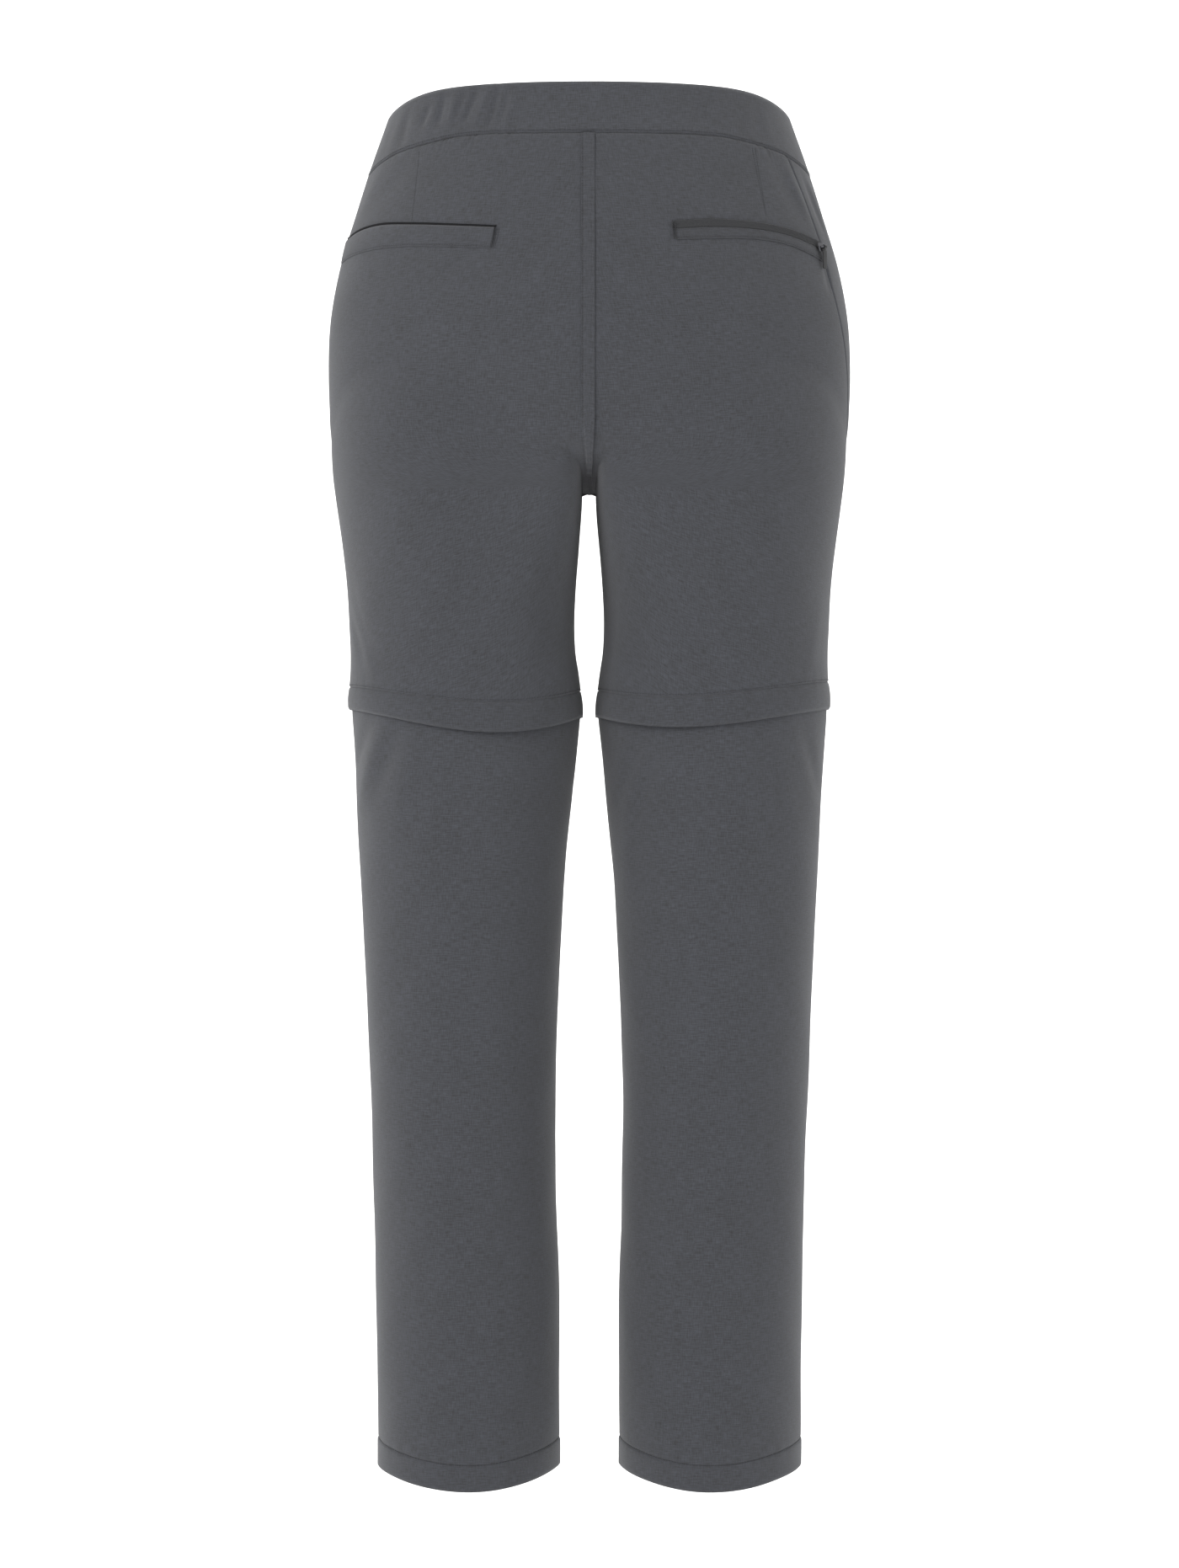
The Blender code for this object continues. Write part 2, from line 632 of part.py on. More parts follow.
def knee_flap(name, side, columns, material):
    """Flap that hangs from the knee seam over the zip."""
    angle = full_turn(columns)
    top = leg_line(KNEE_SEAM, side, angle) - GAP / 2.0
    bottom = leg_line(FLAP_EDGE, side, angle)
    z = top + (bottom - top) * np.array([0.0, 0.5, 1.0])
    outer = lifted(thigh_point, angle, z, 0.0)
    inner = lifted(thigh_point, angle, z, -FLAP_WALL)
    return cloth(name, to_side(outer, side), to_side(inner, side), material, ring=True)


def knee_zip_point(angle, z, depth, lower_share):
    """Point under the knee flap, between the shorts' surface and the lower leg's."""
    upper = lifted(thigh_point, angle, z, -depth)
    lower = lifted(lower_point, angle, z, -depth)
    return upper + (lower - upper) * lower_share


# Knee zip: drop below the knee seam, depth under the cloth, share of the lower leg's surface
KNEE_ZIP_ROWS = (
    (-0.0050, 0.0028, 0.0),
    (0.0010, 0.0028, 0.0),
    (0.0052, 0.0042, 0.0),
    (0.0070, 0.0036, 0.0),
    (0.0088, 0.0042, 0.0),
    (0.0130, 0.0028, 1.0),
    (0.0190, 0.0028, 1.0),
)


def knee_zip(name, side, columns, material):
    """Zip ring: its tapes are sewn inside both edges, and its coil stands up in the middle."""
    angle = full_turn(columns)
    walls = []
    for wall in (0.0, TRIM_WALL):
        rows = [
            knee_zip_point(angle, leg_line(KNEE_SEAM, side, angle) - drop, depth + wall, share)
            for drop, depth, share in KNEE_ZIP_ROWS
        ]
        walls.append(np.concatenate(rows, axis=1))
    return cloth(name, to_side(walls[0], side), to_side(walls[1], side), material, ring=True)


def applied_strip(name, side, table, ends, columns, profile, material):
    """Trim that lies on the seat, by profile rows of share down the strip and lift."""
    degrees = np.linspace(ends[0], ends[1], columns + 1)[:, None]
    upper = table.at("upper", degrees)
    lower = table.at("lower", degrees)
    share = np.array([row[0] for row in profile])
    lift = np.array([row[1] for row in profile])
    z = upper + (lower - upper) * share
    angle = np.radians(degrees)
    outer = lifted(thigh_point, angle, z, GAP + TRIM_WALL + lift)
    inner = lifted(thigh_point, angle, z, GAP)
    return cloth(name, to_side(outer, side), to_side(inner, side), material)


def pocket_trim(cloth_material, tape_material):
    """Open pocket's welt on the wearer's left, and the zip's tape with its raised coil on the right."""
    applied_strip("pocket_welt_left", 1.0, WELT, (82.5, 14.0), 18, ((0.0, 0.0), (1.0, 0.0)), cloth_material)
    middle = 0.38
    half = COIL_HALF_WIDTH / 0.0140
    profile = (
        (0.0, 0.0), (middle - half, 0.0), (middle - half / 2.0, COIL_HEIGHT),
        (middle + half / 2.0, COIL_HEIGHT), (middle + half, 0.0), (1.0, 0.0),
    )
    applied_strip("pocket_zip_tape", -1.0, POCKET_ZIP, (85.5, 25.2), 16, profile, tape_material)


def surface_frame(point, side, degrees, z, lift):
    """Axes on the cloth: along the zip outwards, down the cloth and out of it, with their origin."""
    angle = np.radians(degrees)
    step = np.radians(1.0)
    along = point(np.array(angle - step), np.array(z)) - point(np.array(angle + step), np.array(z))
    out = outward(point, np.array(angle), np.array(z))
    origin = Vector(to_side(point(np.array(angle), np.array(z)) + out * lift, side))
    along = Vector(to_side(along, side)).normalized()
    out = Vector(to_side(out, side)).normalized()
    down = out.cross(along).normalized()
    if down.z > 0.0:
        down = -down
        along = -along
    return Matrix.Translation(origin) @ Matrix((along, down, out)).transposed().to_4x4()


def place(mesh_data, matrix):
    """Move a shape from its own axes to where it lies on the garment."""
    bmesh.ops.transform(mesh_data, matrix=matrix, verts=mesh_data.verts)
    return mesh_data


def pocket_slider_frame():
    """Axes of the pocket zip's slider, at the underside of its plate."""
    z = float(POCKET_ZIP.at("coil", np.array(SLIDER_ANGLE)))
    return surface_frame(thigh_point, -1.0, SLIDER_ANGLE, z, GAP + TRIM_WALL + COIL_HEIGHT + GAP)


def pocket_slider(material):
    """Slider: a plate over the coil, and a crown that the pull tab hangs from."""
    frame = pocket_slider_frame()
    plate = box((SLIDER_LENGTH, SLIDER_WIDTH, PLATE_THICK), (0.0, 0.0, PLATE_THICK / 2.0), 0.0004)
    piece = new_object("pocket_zip_slider", place(plate, frame), material)
    rise = PLATE_THICK + CROWN_RISE
    post_height = CROWN_RISE + CROWN_RADIUS + PLATE_THICK / 2.0
    for number, sign in enumerate((-1.0, 1.0)):
        middle = (sign * (CROWN_LENGTH - POST_LENGTH) / 2.0, 0.0, PLATE_THICK / 2.0 + post_height / 2.0)
        post = box((POST_LENGTH, 2.0 * CROWN_RADIUS + 0.0002, post_height), middle)
        merge(piece, new_helper("crown_post_%d" % number, place(post, frame)), "UNION")
    bar = rod(CROWN_RADIUS, CROWN_LENGTH - POST_LENGTH / 2.0, 12)
    bar_frame = frame @ Matrix.Translation((0.0, 0.0, rise))
    merge(piece, new_helper("crown_bar", place(bar, bar_frame)), "UNION")
    return piece


def pocket_pull(material):
    """Pull tab: its eye turns on the slider's crown, and its origin is on that axis."""
    rise = PLATE_THICK + CROWN_RISE
    frame = pocket_slider_frame() @ Matrix.Translation((0.0, 0.0, rise))
    pivot = frame.to_translation()
    hang = frame.to_3x3().to_4x4() @ Matrix.Rotation(math.radians(-PULL_TILT), 4, "X")
    tab_start = 0.0024
    tab = box((PULL_WIDTH, PULL_LENGTH - tab_start, PULL_THICK),
              (0.0, (PULL_LENGTH + tab_start) / 2.0, 0.0), 0.0005)
    piece = new_object("pocket_zip_pull", place(tab, hang), material)
    piece.location = pivot
    neck_size = (0.8 * EYE_LENGTH, tab_start + 0.0004, 0.8 * PULL_THICK)
    neck = box(neck_size, (0.0, 0.0008 + neck_size[1] / 2.0, 0.0))
    eye = rod(EYE_RADIUS, EYE_LENGTH, 16)
    bore = rod(EYE_BORE, EYE_LENGTH * 2.0, 16)
    for name, shape, operation in (("pull_neck", neck, "UNION"), ("pull_eye", eye, "UNION"),
                                   ("pull_bore", bore, "DIFFERENCE")):
        helper = new_helper(name, place(shape, hang))
        helper.location = pivot
        merge(piece, helper, operation)
    return piece


def waist_button(material):
    """Flat button with a raised rim, on the right front band."""
    angle, z = band_place(False, BUTTON_SHARE, 0.5)
    frame = surface_frame(thigh_point, -1.0, math.degrees(angle), float(z), 2.0 * GAP)
    button = bmesh.new()
    bmesh.ops.create_cone(button, segments=28, radius1=BUTTON_RADIUS, radius2=BUTTON_RADIUS,
                          depth=BUTTON_THICK, cap_ends=True)
    bmesh.ops.translate(button, verts=button.verts, vec=(0.0, 0.0, BUTTON_THICK / 2.0))
    top = max(button.faces, key=lambda face: face.calc_center_median().z)
    bmesh.ops.bevel(button, geom=top.edges[:], offset=0.0006, segments=2, profile=0.5, affect="EDGES")
    top = max(button.faces, key=lambda face: face.calc_center_median().z)
    bmesh.ops.inset_region(button, faces=[top], thickness=0.0016, depth=-0.0006)
    return new_object("waist_button", place(button, frame), material)


def fly_placket(material):
    """Fly edge down the centre front, rounded off at its lower corner."""
    rows = 12
    top = float(waist_height(centre_angle(False, -0.02), 0.0)) - 0.0008
    down = np.linspace(0.0, 1.0, rows + 1)
    heights = top - PLACKET_LENGTH * down
    corner = np.clip((down - 0.78) / 0.22, 0.0, 1.0)
    far_edge = -PLACKET_LAP + (PLACKET_WIDTH + PLACKET_LAP - 0.004) * np.sqrt(1.0 - corner ** 2) + 0.004
    across = np.linspace(0.0, 1.0, 6)[:, None]
    x = -PLACKET_LAP + (far_edge + PLACKET_LAP) * across
    depth = hip_depth(heights, False)
    side = HIPS.at("side", heights)
    y = AXIS.at("y", heights) - depth * (1.0 - (np.abs(x) / side) ** HIP_POWER) ** (1.0 / HIP_POWER)
    points = np.stack([x, y, heights + 0.0 * x], -1)
    normal = np.cross(np.gradient(points, axis=0), np.gradient(points, axis=1))
    normal /= np.linalg.norm(normal, axis=-1, keepdims=True)
    normal *= np.where(normal[..., 1:2] > 0.0, -1.0, 1.0)
    outer = points + normal * (GAP + 0.0002 + TRIM_WALL)
    inner = points + normal * (GAP + 0.0002)
    return cloth("fly_placket", to_side(outer, -1.0), to_side(inner, -1.0), material)


def centre_back_seam(material):
    """Felled seam from the waistband down the seat, narrowing where it turns under."""
    top = WAIST_TOP_BACK - BAND_HEIGHT - 0.0006
    turns = np.radians(np.linspace(0.0, FELL_END_TURN, 5))[1:]
    floor_z = BACK_TURN_Z - (BACK_TURN_Z - CROTCH_Z) * np.sin(turns) ** (2.0 / FLOOR_POWER)
    heights = np.concatenate([np.linspace(top, BACK_TURN_Z, 13), floor_z])
    narrow = fade(BACK_TURN_Z + 0.010, float(floor_z[-1]), heights)
    left = FELL_LEFT + (FELL_END - FELL_LEFT) * narrow
    right = FELL_RIGHT + (-FELL_END - FELL_RIGHT) * narrow
    clear = GAP + 0.0008 * narrow
    walls = []
    for lift in (clear + TRIM_WALL, clear):
        columns = []
        for share in (0.0, 0.5, 1.0):
            x = left + (right - left) * share
            points, normal = centre_seam(True, heights, x)
            columns.append(points + normal * lift[:, None])
        walls.append(np.stack(columns))
    return cloth("centre_back_seam", walls[0], walls[1], material)


def knee_slider(name, side, material):
    """Slider of a knee zip, parked near the outer side under the flap."""
    angle = np.array(math.radians(KNEE_SLIDER_ANGLE))
    z = float(leg_line(KNEE_SEAM, side, angle)) - ZIP_HEIGHT / 2.0
    frame = surface_frame(thigh_point, side, KNEE_SLIDER_ANGLE, z, -0.0032)
    size = KNEE_SLIDER_SIZE
    plate = box(size, (0.0, 0.0, size[2] / 2.0), 0.0003)
    return new_object(name, place(plate, frame), material)


def clear_scene():
    """Remove the scene's objects and make the garment's collections."""
    for item in list(bpy.data.objects):
        bpy.data.objects.remove(item, do_unlink=True)
    for name in (COLLECTION_NAME, HELPER_COLLECTION):
        collection = bpy.data.collections.new(name)
        bpy.context.scene.collection.children.link(collection)


def build():
    """Make every piece."""
    clear_scene()
    cloth_grey = new_material("grey_woven_cloth", (0.090, 0.092, 0.098), 0.75)
    band_grey = new_material("waistband_cloth", (0.092, 0.094, 0.100), 0.75)
    flap_grey = new_material("flap_cloth", (0.086, 0.088, 0.094), 0.75)
    tape_grey = new_material("zip_tape", (0.045, 0.046, 0.050), 0.60)
    zip_metal = new_material("slider_metal", (0.30, 0.30, 0.32), 0.35, 0.9)
    pull_black = new_material("pull_plastic", (0.012, 0.012, 0.013), 0.45)
    button_grey = new_material("button_plastic", (0.050, 0.051, 0.055), 0.40)
    back_waistband(band_grey)
    front_waistbands(band_grey)
    waist_button(button_grey)
    fly_placket(cloth_grey)
    centre_back_seam(cloth_grey)
    pocket_trim(flap_grey, tape_grey)
    pocket_slider(zip_metal)
    pocket_pull(pull_black)
    for side, word in ((1.0, "left"), (-1.0, "right")):
        shorts_panel("back_panel_" + word, side, True, 18, (9, 6, 5), cloth_grey)
        shorts_panel("front_panel_" + word, side, False, 20, (9, 6, 5), cloth_grey)
        knee_flap("knee_flap_" + word, side, 36, flap_grey)
        knee_zip("knee_zip_" + word, side, 30, tape_grey)
        knee_slider("knee_zip_slider_" + word, side, zip_metal)
        back_rows = list(np.linspace(0.0, 0.18, 9)) + [0.28, 0.40, 0.52, 0.64, 0.76, 0.88, 1.0]
        front_rows = list(np.linspace(0.0, 0.18, 4)) + [0.34, 0.50, 0.66, 0.82, 1.0]
        lower_leg("lower_back_" + word, side, True, 18, back_rows, cloth_grey)
        lower_leg("lower_front_" + word, side, False, 12, front_rows, cloth_grey)


build()
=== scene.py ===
"""Convertible zip-off trousers: fine cloth, sewing and finishes over the fixed frame.

Metres, +Z up, back towards +Y, the wearer's left at +X. Cloth lies on two worked-out surfaces, the hips
with the thighs and the lower legs, each by an angle round the leg and a height.
"""

import math

import bmesh
import bpy
import numpy as np
from mathutils import Matrix, Vector


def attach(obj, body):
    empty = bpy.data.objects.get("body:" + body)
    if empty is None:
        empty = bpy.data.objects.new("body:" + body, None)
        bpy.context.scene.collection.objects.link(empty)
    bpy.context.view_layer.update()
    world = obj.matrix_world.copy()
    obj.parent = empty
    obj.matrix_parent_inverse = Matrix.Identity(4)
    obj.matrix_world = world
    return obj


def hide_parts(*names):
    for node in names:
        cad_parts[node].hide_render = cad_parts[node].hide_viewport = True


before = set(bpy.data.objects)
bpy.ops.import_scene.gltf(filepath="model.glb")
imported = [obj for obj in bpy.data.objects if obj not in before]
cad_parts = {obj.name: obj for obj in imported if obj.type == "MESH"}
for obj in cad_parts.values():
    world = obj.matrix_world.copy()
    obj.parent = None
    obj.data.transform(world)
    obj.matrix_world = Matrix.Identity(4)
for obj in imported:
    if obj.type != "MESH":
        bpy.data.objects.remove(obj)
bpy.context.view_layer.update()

GARMENT = "garment"

# Cloth: the band's wall, the gap between neighbours and the thickness of each sheet
BAND_WALL = 0.0022
GAP = 0.0003
BAND_SHEET = 0.0016
PANEL_SHEET = 0.0007
FLAP_SHEET = 0.0009
TAPE_SHEET = 0.0008
TRIM_SHEET = 0.0006
# Thickness of the near-black strip that paints the shadow in the left pocket's mouth
MOUTH_SHADE_SHEET = 0.0003

# Waist
BAND_HEIGHT = 0.0395
BAND_HEIGHT_SIDE = 0.0435
WAIST_TOP_BACK = 0.0215
WAIST_TOP_SIDE = 0.008
WAIST_TOP_FRONT = 0.0085
BAND_SEAM_ANGLE = 4.0
GATHERS = 24
GATHER_DEPTH = 0.0013
LAP = 0.088
UNDERLAP = 0.059

# Crotch
CROTCH_Z = -0.277
BACK_TURN_Z = -0.2345
FRONT_TURN_Z = -0.215
FLOOR_POWER = 2.2
HIP_POWER = 2.2
LEG_POWER = 2.1
INSEAM_START_DROP = 0.002
SIDE_TURN_TOP = -0.215
SIDE_TURN_END = -0.285
SIDE_LEG_START = -0.291

# Seam lines that cross a leg: height at the outer and inner leg, how far they dip behind and before,
# and how many degrees the lowest point lies towards the inner leg
KNEE_SEAM = {
    "left": {"outer": -0.4255, "inner": -0.429, "back_dip": 0.0112, "front_dip": 0.006, "turn": 12.0},
    "right": {"outer": -0.4215, "inner": -0.4285, "back_dip": 0.0087, "front_dip": 0.006, "turn": 12.0},
}
FLAP_EDGE = {
    "left": {"outer": -0.443, "inner": -0.449, "back_dip": 0.0146, "front_dip": 0.01, "turn": 12.0},
    "right": {"outer": -0.4428, "inner": -0.4487, "back_dip": 0.011, "front_dip": 0.008, "turn": 12.0},
}
HEM_LINE = {"outer": -1.0225, "inner": -1.0225, "back_dip": 0.0108, "front_dip": -0.002, "turn": 2.0}
HEM_EDGE = {"left": HEM_LINE, "right": HEM_LINE}
DIP_POWER = 2.5
ZIP_HEIGHT = 0.014
HEM_DEPTH = 0.02
HEM_STEP = 0.0006


class Sections:
    """Rows of named sizes against height, joined by smooth curves."""

    def __init__(self, names, rows):
        table = np.array(sorted(rows))
        self.heights = table[:, 0]
        self.columns = dict(zip(names, table[:, 1:].T))

    def at(self, name, height):
        """The named size at a height, or at an array of heights."""
        heights = self.heights
        values = self.columns[name]
        slopes = np.gradient(values, heights)
        i = np.clip(np.searchsorted(heights, height) - 1, 0, len(heights) - 2)
        step = heights[i + 1] - heights[i]
        t = np.clip((height - heights[i]) / step, 0.0, 1.0)
        rise = t * t * (3.0 - 2.0 * t)
        leave = t * (1.0 - t) ** 2 * step
        arrive = t * t * (t - 1.0) * step
        curve = values[i] + (values[i + 1] - values[i]) * rise
        return curve + slopes[i] * leave + slopes[i + 1] * arrive


# Half width and depth of the hips
HIPS = Sections(("side", "back", "front"), (
    (0.03, 0.148, 0.1115, -0.0985),
    (0.015, 0.1528, 0.1145, -0.1015),
    (0.0000, 0.158, 0.118, -0.1045),
    (-0.025, 0.1668, 0.1245, -0.109),
    (-0.065, 0.1795, 0.1335, -0.114),
    (-0.105, 0.1912, 0.1405, -0.117),
    (-0.145, 0.1984, 0.144, -0.118),
    (-0.185, 0.2, 0.1415, -0.117),
    (-0.21, 0.1995, 0.136, -0.115),
    (-0.23, 0.1985, 0.13, -0.113),
    (-0.25, 0.194, 0.128, -0.109),
    (-0.28, 0.186, 0.127, -0.104),
))

# Axis that the angles turn about
AXIS = Sections(("x", "y"), (
    (0.03, 0.03, 0.006),
    (-0.025, 0.035, 0.007),
    (-0.085, 0.052, 0.009),
    (-0.145, 0.076, 0.0115),
    (-0.2, 0.093, 0.012),
    (-0.235, 0.0985, 0.011),
    (-0.285, 0.0996, 0.0095),
    (-0.35, 0.0982, 0.008),
    (-0.415, 0.0959, 0.006),
    (-0.47, 0.0949, 0.005),
))

# Thigh, from inside the hips to the lower edge of the knee flap
THIGH = Sections(("outer", "inner", "back", "front", "inner_power"), (
    (-0.13, 0.185, 0.01, 0.112, -0.096, 8.0),
    (-0.2, 0.1955, 0.0055, 0.124, -0.104, 9.0),
    (-0.235, 0.1976, 0.005, 0.1265, -0.105, 9.0),
    (-0.262, 0.1964, 0.005, 0.124, -0.102, 9.0),
    (-0.285, 0.1937, 0.0055, 0.1195, -0.099, 7.0),
    (-0.317, 0.1895, 0.0079, 0.113, -0.095, 4.6),
    (-0.35, 0.1859, 0.0105, 0.1065, -0.091, 3.3),
    (-0.382, 0.1843, 0.0114, 0.101, -0.088, 2.7),
    (-0.4, 0.1836, 0.0104, 0.099, -0.0865, 2.6),
    (-0.415, 0.1838, 0.0081, 0.0975, -0.0855, 2.5),
    (-0.43, 0.1849, 0.0062, 0.097, -0.085, 2.4),
    (-0.446, 0.1854, 0.0049, 0.097, -0.085, 2.4),
    (-0.48, 0.185, 0.004, 0.0965, -0.0848, 2.4),
))

# Lower leg, from the knee zip to the hem
LOWER_LEG = Sections(("outer", "inner", "back", "front"), (
    (-0.41, 0.183, 0.0062, 0.095, -0.0835),
    (-0.446, 0.1823, 0.0068, 0.0938, -0.0826),
    (-0.467, 0.181, 0.0088, 0.092, -0.0815),
    (-0.506, 0.1791, 0.0127, 0.0885, -0.0795),
    (-0.545, 0.1771, 0.0166, 0.0855, -0.077),
    (-0.584, 0.1752, 0.0198, 0.083, -0.0745),
    (-0.662, 0.1713, 0.0237, 0.08, -0.0695),
    (-0.74, 0.168, 0.026, 0.078, -0.066),
    (-0.818, 0.1654, 0.0252, 0.0765, -0.065),
    (-0.896, 0.1641, 0.0231, 0.075, -0.0655),
    (-0.974, 0.1628, 0.0231, 0.0735, -0.0665),
    (-1.04, 0.1628, 0.0231, 0.0725, -0.0675),
))

# Angle of the side seams in degrees. The right one lies further back at the hip, as it does on the body
SIDE_SEAM = Sections(("left", "right"), (
    (0.03, 5.0, 27.0),
    (-0.025, 5.0, 27.5),
    (-0.06, 5.0, 25.3),
    (-0.095, 5.0, 23.6),
    (-0.13, 4.6, 23.8),
    (-0.2, 4.0, 14.5),
    (-0.3, 3.0, 5.0),
    (-0.47, 2.0, 2.0),
    (-1.05, 2.0, 2.0),
))

# Height of the back band's seam against the angle in degrees
BACK_BAND_SEAM = Sections(("height",), (
    (0.0, -0.0355),
    (8.0, -0.0347),
    (15.0, -0.0327),
    (23.0, -0.0289),
    (31.0, -0.0247),
    (38.0, -0.0224),
    (46.0, -0.0202),
    (55.0, -0.0178),
    (66.0, -0.0172),
    (82.0, -0.0177),
    (104.0, -0.018),
    (180.0, -0.018),
))

# Creases: leg, degrees and height at both ends, half width and height of the ridge or trough
THIGH_CREASES = (
    (1, 33, -0.398, 47, -0.424, 0.008, 0.0012),
    (1, 20, -0.372, 38, -0.414, 0.007, -0.0012),
    (-1, 120, -0.396, 138, -0.424, 0.007, -0.0012),
    (1, 31, -0.1, 46, -0.122, 0.005, -0.0004),
    (1, 76, -0.028, 70, -0.066, 0.006, 0.0004),
    (1, 40, -0.03, 30, -0.062, 0.007, -0.0006),
    (1, 24, -0.03, 18, -0.07, 0.006, 0.0005),
    (-1, 74.1, -0.033, 68.5, -0.057, 0.005, -0.0005),
    (-1, 20.5, -0.04, 17.0, -0.078, 0.003, -0.001),
    (-1, 16, -0.042, 13, -0.092, 0.003, 0.0009),
    (-1, 12.0, -0.046, 10.5, -0.088, 0.003, -0.0009),
    (-1, 30.5, -0.04, 27.5, -0.07, 0.0035, 0.0006),
    (-1, 24.5, -0.104, 27.0, -0.128, 0.0035, -0.0012),
    (1, 79, -0.105, 70, -0.125, 0.0045, -0.0007),
    (-1, 36, -0.028, 34, -0.072, 0.006, -0.0007),
    (-1, 30, -0.03, 27, -0.08, 0.004, 0.0006),
    (1, 100, -0.232, 70, -0.262, 0.01, -0.0008),
    (-1, 102, -0.234, 74, -0.266, 0.01, -0.0009),
    (1, 128, -0.262, 104, -0.3, 0.009, -0.0007),
    (-1, 124, -0.262, 100, -0.294, 0.009, -0.0006),
    (1, -98, -0.205, -60, -0.222, 0.011, -0.0014),
    (-1, -96, -0.208, -58, -0.228, 0.011, -0.0013),
    (1, -112, -0.236, -72, -0.25, 0.01, -0.001),
    (-1, -110, -0.232, -76, -0.246, 0.01, -0.0011),
    (1, 26, -0.35, 46, -0.42, 0.008, -0.0006),
    (-1, 146, -0.372, 150, -0.42, 0.008, -0.0005),
    (-1, 30, -0.362, 40, -0.42, 0.009, 0.0005),
    (1, -40, -0.38, -60, -0.424, 0.009, -0.0008),
    (-1, -38, -0.376, -62, -0.424, 0.009, -0.0009),
)
LOWER_CREASES = (
    (1, 50, -0.456, 20, -0.515, 0.009, 0.0018),
    (1, 38, -0.454, 12, -0.485, 0.008, -0.0022),
    (1, 57, -0.46, 38, -0.51, 0.009, -0.0018),
    (1, -40, -0.456, -16, -0.51, 0.009, -0.002),
    (-1, 125, -0.456, 150, -0.51, 0.009, -0.0022),
    (-1, 118, -0.47, 137, -0.525, 0.008, -0.0014),
    (-1, 42, -0.456, 20, -0.505, 0.009, -0.0016),
    (-1, -40, -0.456, -16, -0.51, 0.009, -0.002),
    (1, 66, -0.47, 52, -0.54, 0.01, 0.0008),
    (1, 128, -0.462, 142, -0.53, 0.01, -0.0008),
    (1, 84, -0.48, 92, -0.56, 0.013, -0.0006),
    (-1, 96, -0.48, 84, -0.57, 0.013, -0.0006),
    (-1, 58, -0.47, 46, -0.53, 0.01, 0.0007),
    (-1, 140, -0.5, 150, -0.57, 0.009, 0.0006),
    (1, -96, -0.48, -88, -0.58, 0.013, -0.0007),
    (-1, -92, -0.48, -84, -0.57, 0.013, -0.0008),
    (1, 100, -0.7, 82, -0.82, 0.016, -0.0005),
    (-1, 84, -0.69, 100, -0.81, 0.016, -0.0005),
)

# Back pockets against the angle in degrees: heights of the upper edge, the lower edge and the coil
WELT = Sections(("upper", "lower"), (
    (82.5, -0.0897, -0.105),
    (66.0, -0.0868, -0.1026),
    (50.0, -0.0838, -0.1003),
    (34.0, -0.0814, -0.1),
    (24.0, -0.0825, -0.1012),
    (14.0, -0.0852, -0.103),
))
POCKET_ZIP = Sections(("upper", "lower", "coil"), (
    (85.5, -0.0856, -0.099, -0.0904),
    (70.0, -0.0828, -0.097, -0.089),
    (57.0, -0.0832, -0.096, -0.0887),
    (44.0, -0.085, -0.0978, -0.0906),
    (33.0, -0.0885, -0.103, -0.095),
    (25.2, -0.0916, -0.1068, -0.0979),
))

# Front closure
PLACKET_LENGTH = 0.155
PLACKET_WIDTH = 0.032
PLACKET_LAP = 0.004

# Felled seam down the seat
FELL_LEFT = 0.006
FELL_RIGHT = -0.0042
FELL_END = 0.0025
FELL_END_TURN = 36.0

# Knee zip: drop below the knee seam, depth under the cloth, share of the lower leg's surface
KNEE_ZIP_ROWS = (
    (-0.005, 0.0028, 0.0),
    (0.001, 0.0028, 0.0),
    (0.0052, 0.0042, 0.0),
    (0.007, 0.0036, 0.0),
    (0.0088, 0.0042, 0.0),
    (0.013, 0.0028, 1.0),
    (0.019, 0.0028, 1.0),
)


def fade(low, high, value):
    """0 below low, 1 above high, and a smooth step between them."""
    t = np.clip((value - low) / (high - low), 0.0, 1.0)
    return t * t * (3.0 - 2.0 * t)


def hip_depth(z, back):
    """Half depth of the hips at the centre seam, which turns under the crotch into a floor."""
    turn_z = BACK_TURN_Z if back else FRONT_TURN_Z
    full = np.abs(HIPS.at("back" if back else "front", z) - AXIS.at("y", z))
    drop = np.clip((turn_z - z) / (turn_z - CROTCH_Z), 0.0, 1.0)
    return full * (1.0 - drop ** FLOOR_POWER) ** (1.0 / FLOOR_POWER)


def hip_radius(angle, z):
    """Distance from the axis to the outline of the hips, found by halving."""
    across = np.cos(angle)
    along = np.sin(angle)
    start = AXIS.at("x", z)
    side = HIPS.at("side", z)
    depth = np.maximum(np.where(along >= 0.0, hip_depth(z, True), hip_depth(z, False)), 1e-6)
    low = np.zeros_like(across * z)
    high = low + 0.5
    for _ in range(40):
        middle = (low + high) / 2.0
        x_part = np.abs(start + middle * across) / side
        y_part = np.abs(middle * along) / depth
        inside = x_part ** HIP_POWER + y_part ** HIP_POWER < 1.0
        low = np.where(inside, middle, low)
        high = np.where(inside, high, middle)
    return np.where(z > CROTCH_Z, low, 0.0)


def leg_radius(table, angle, z, axis_x, axis_y, inner_power):
    """Distance from a leg's axis to its cloth, with a squarer inner side where the power is high."""
    across = np.cos(angle)
    along = np.sin(angle)
    half_x = np.where(across >= 0.0, table.at("outer", z) - axis_x, axis_x - table.at("inner", z))
    half_y = np.where(along >= 0.0, table.at("back", z) - axis_y, axis_y - table.at("front", z))
    power = np.where(across >= 0.0, LEG_POWER, inner_power)
    return ((np.abs(across) / half_x) ** power + (np.abs(along) / half_y) ** power) ** (-1.0 / power)


def on_axis(axis_x, axis_y, radius, angle, z):
    """Points at a radius and an angle from an axis."""
    x = axis_x + radius * np.cos(angle)
    y = axis_y + radius * np.sin(angle)
    return np.stack([x, y, z + 0.0 * angle], -1)


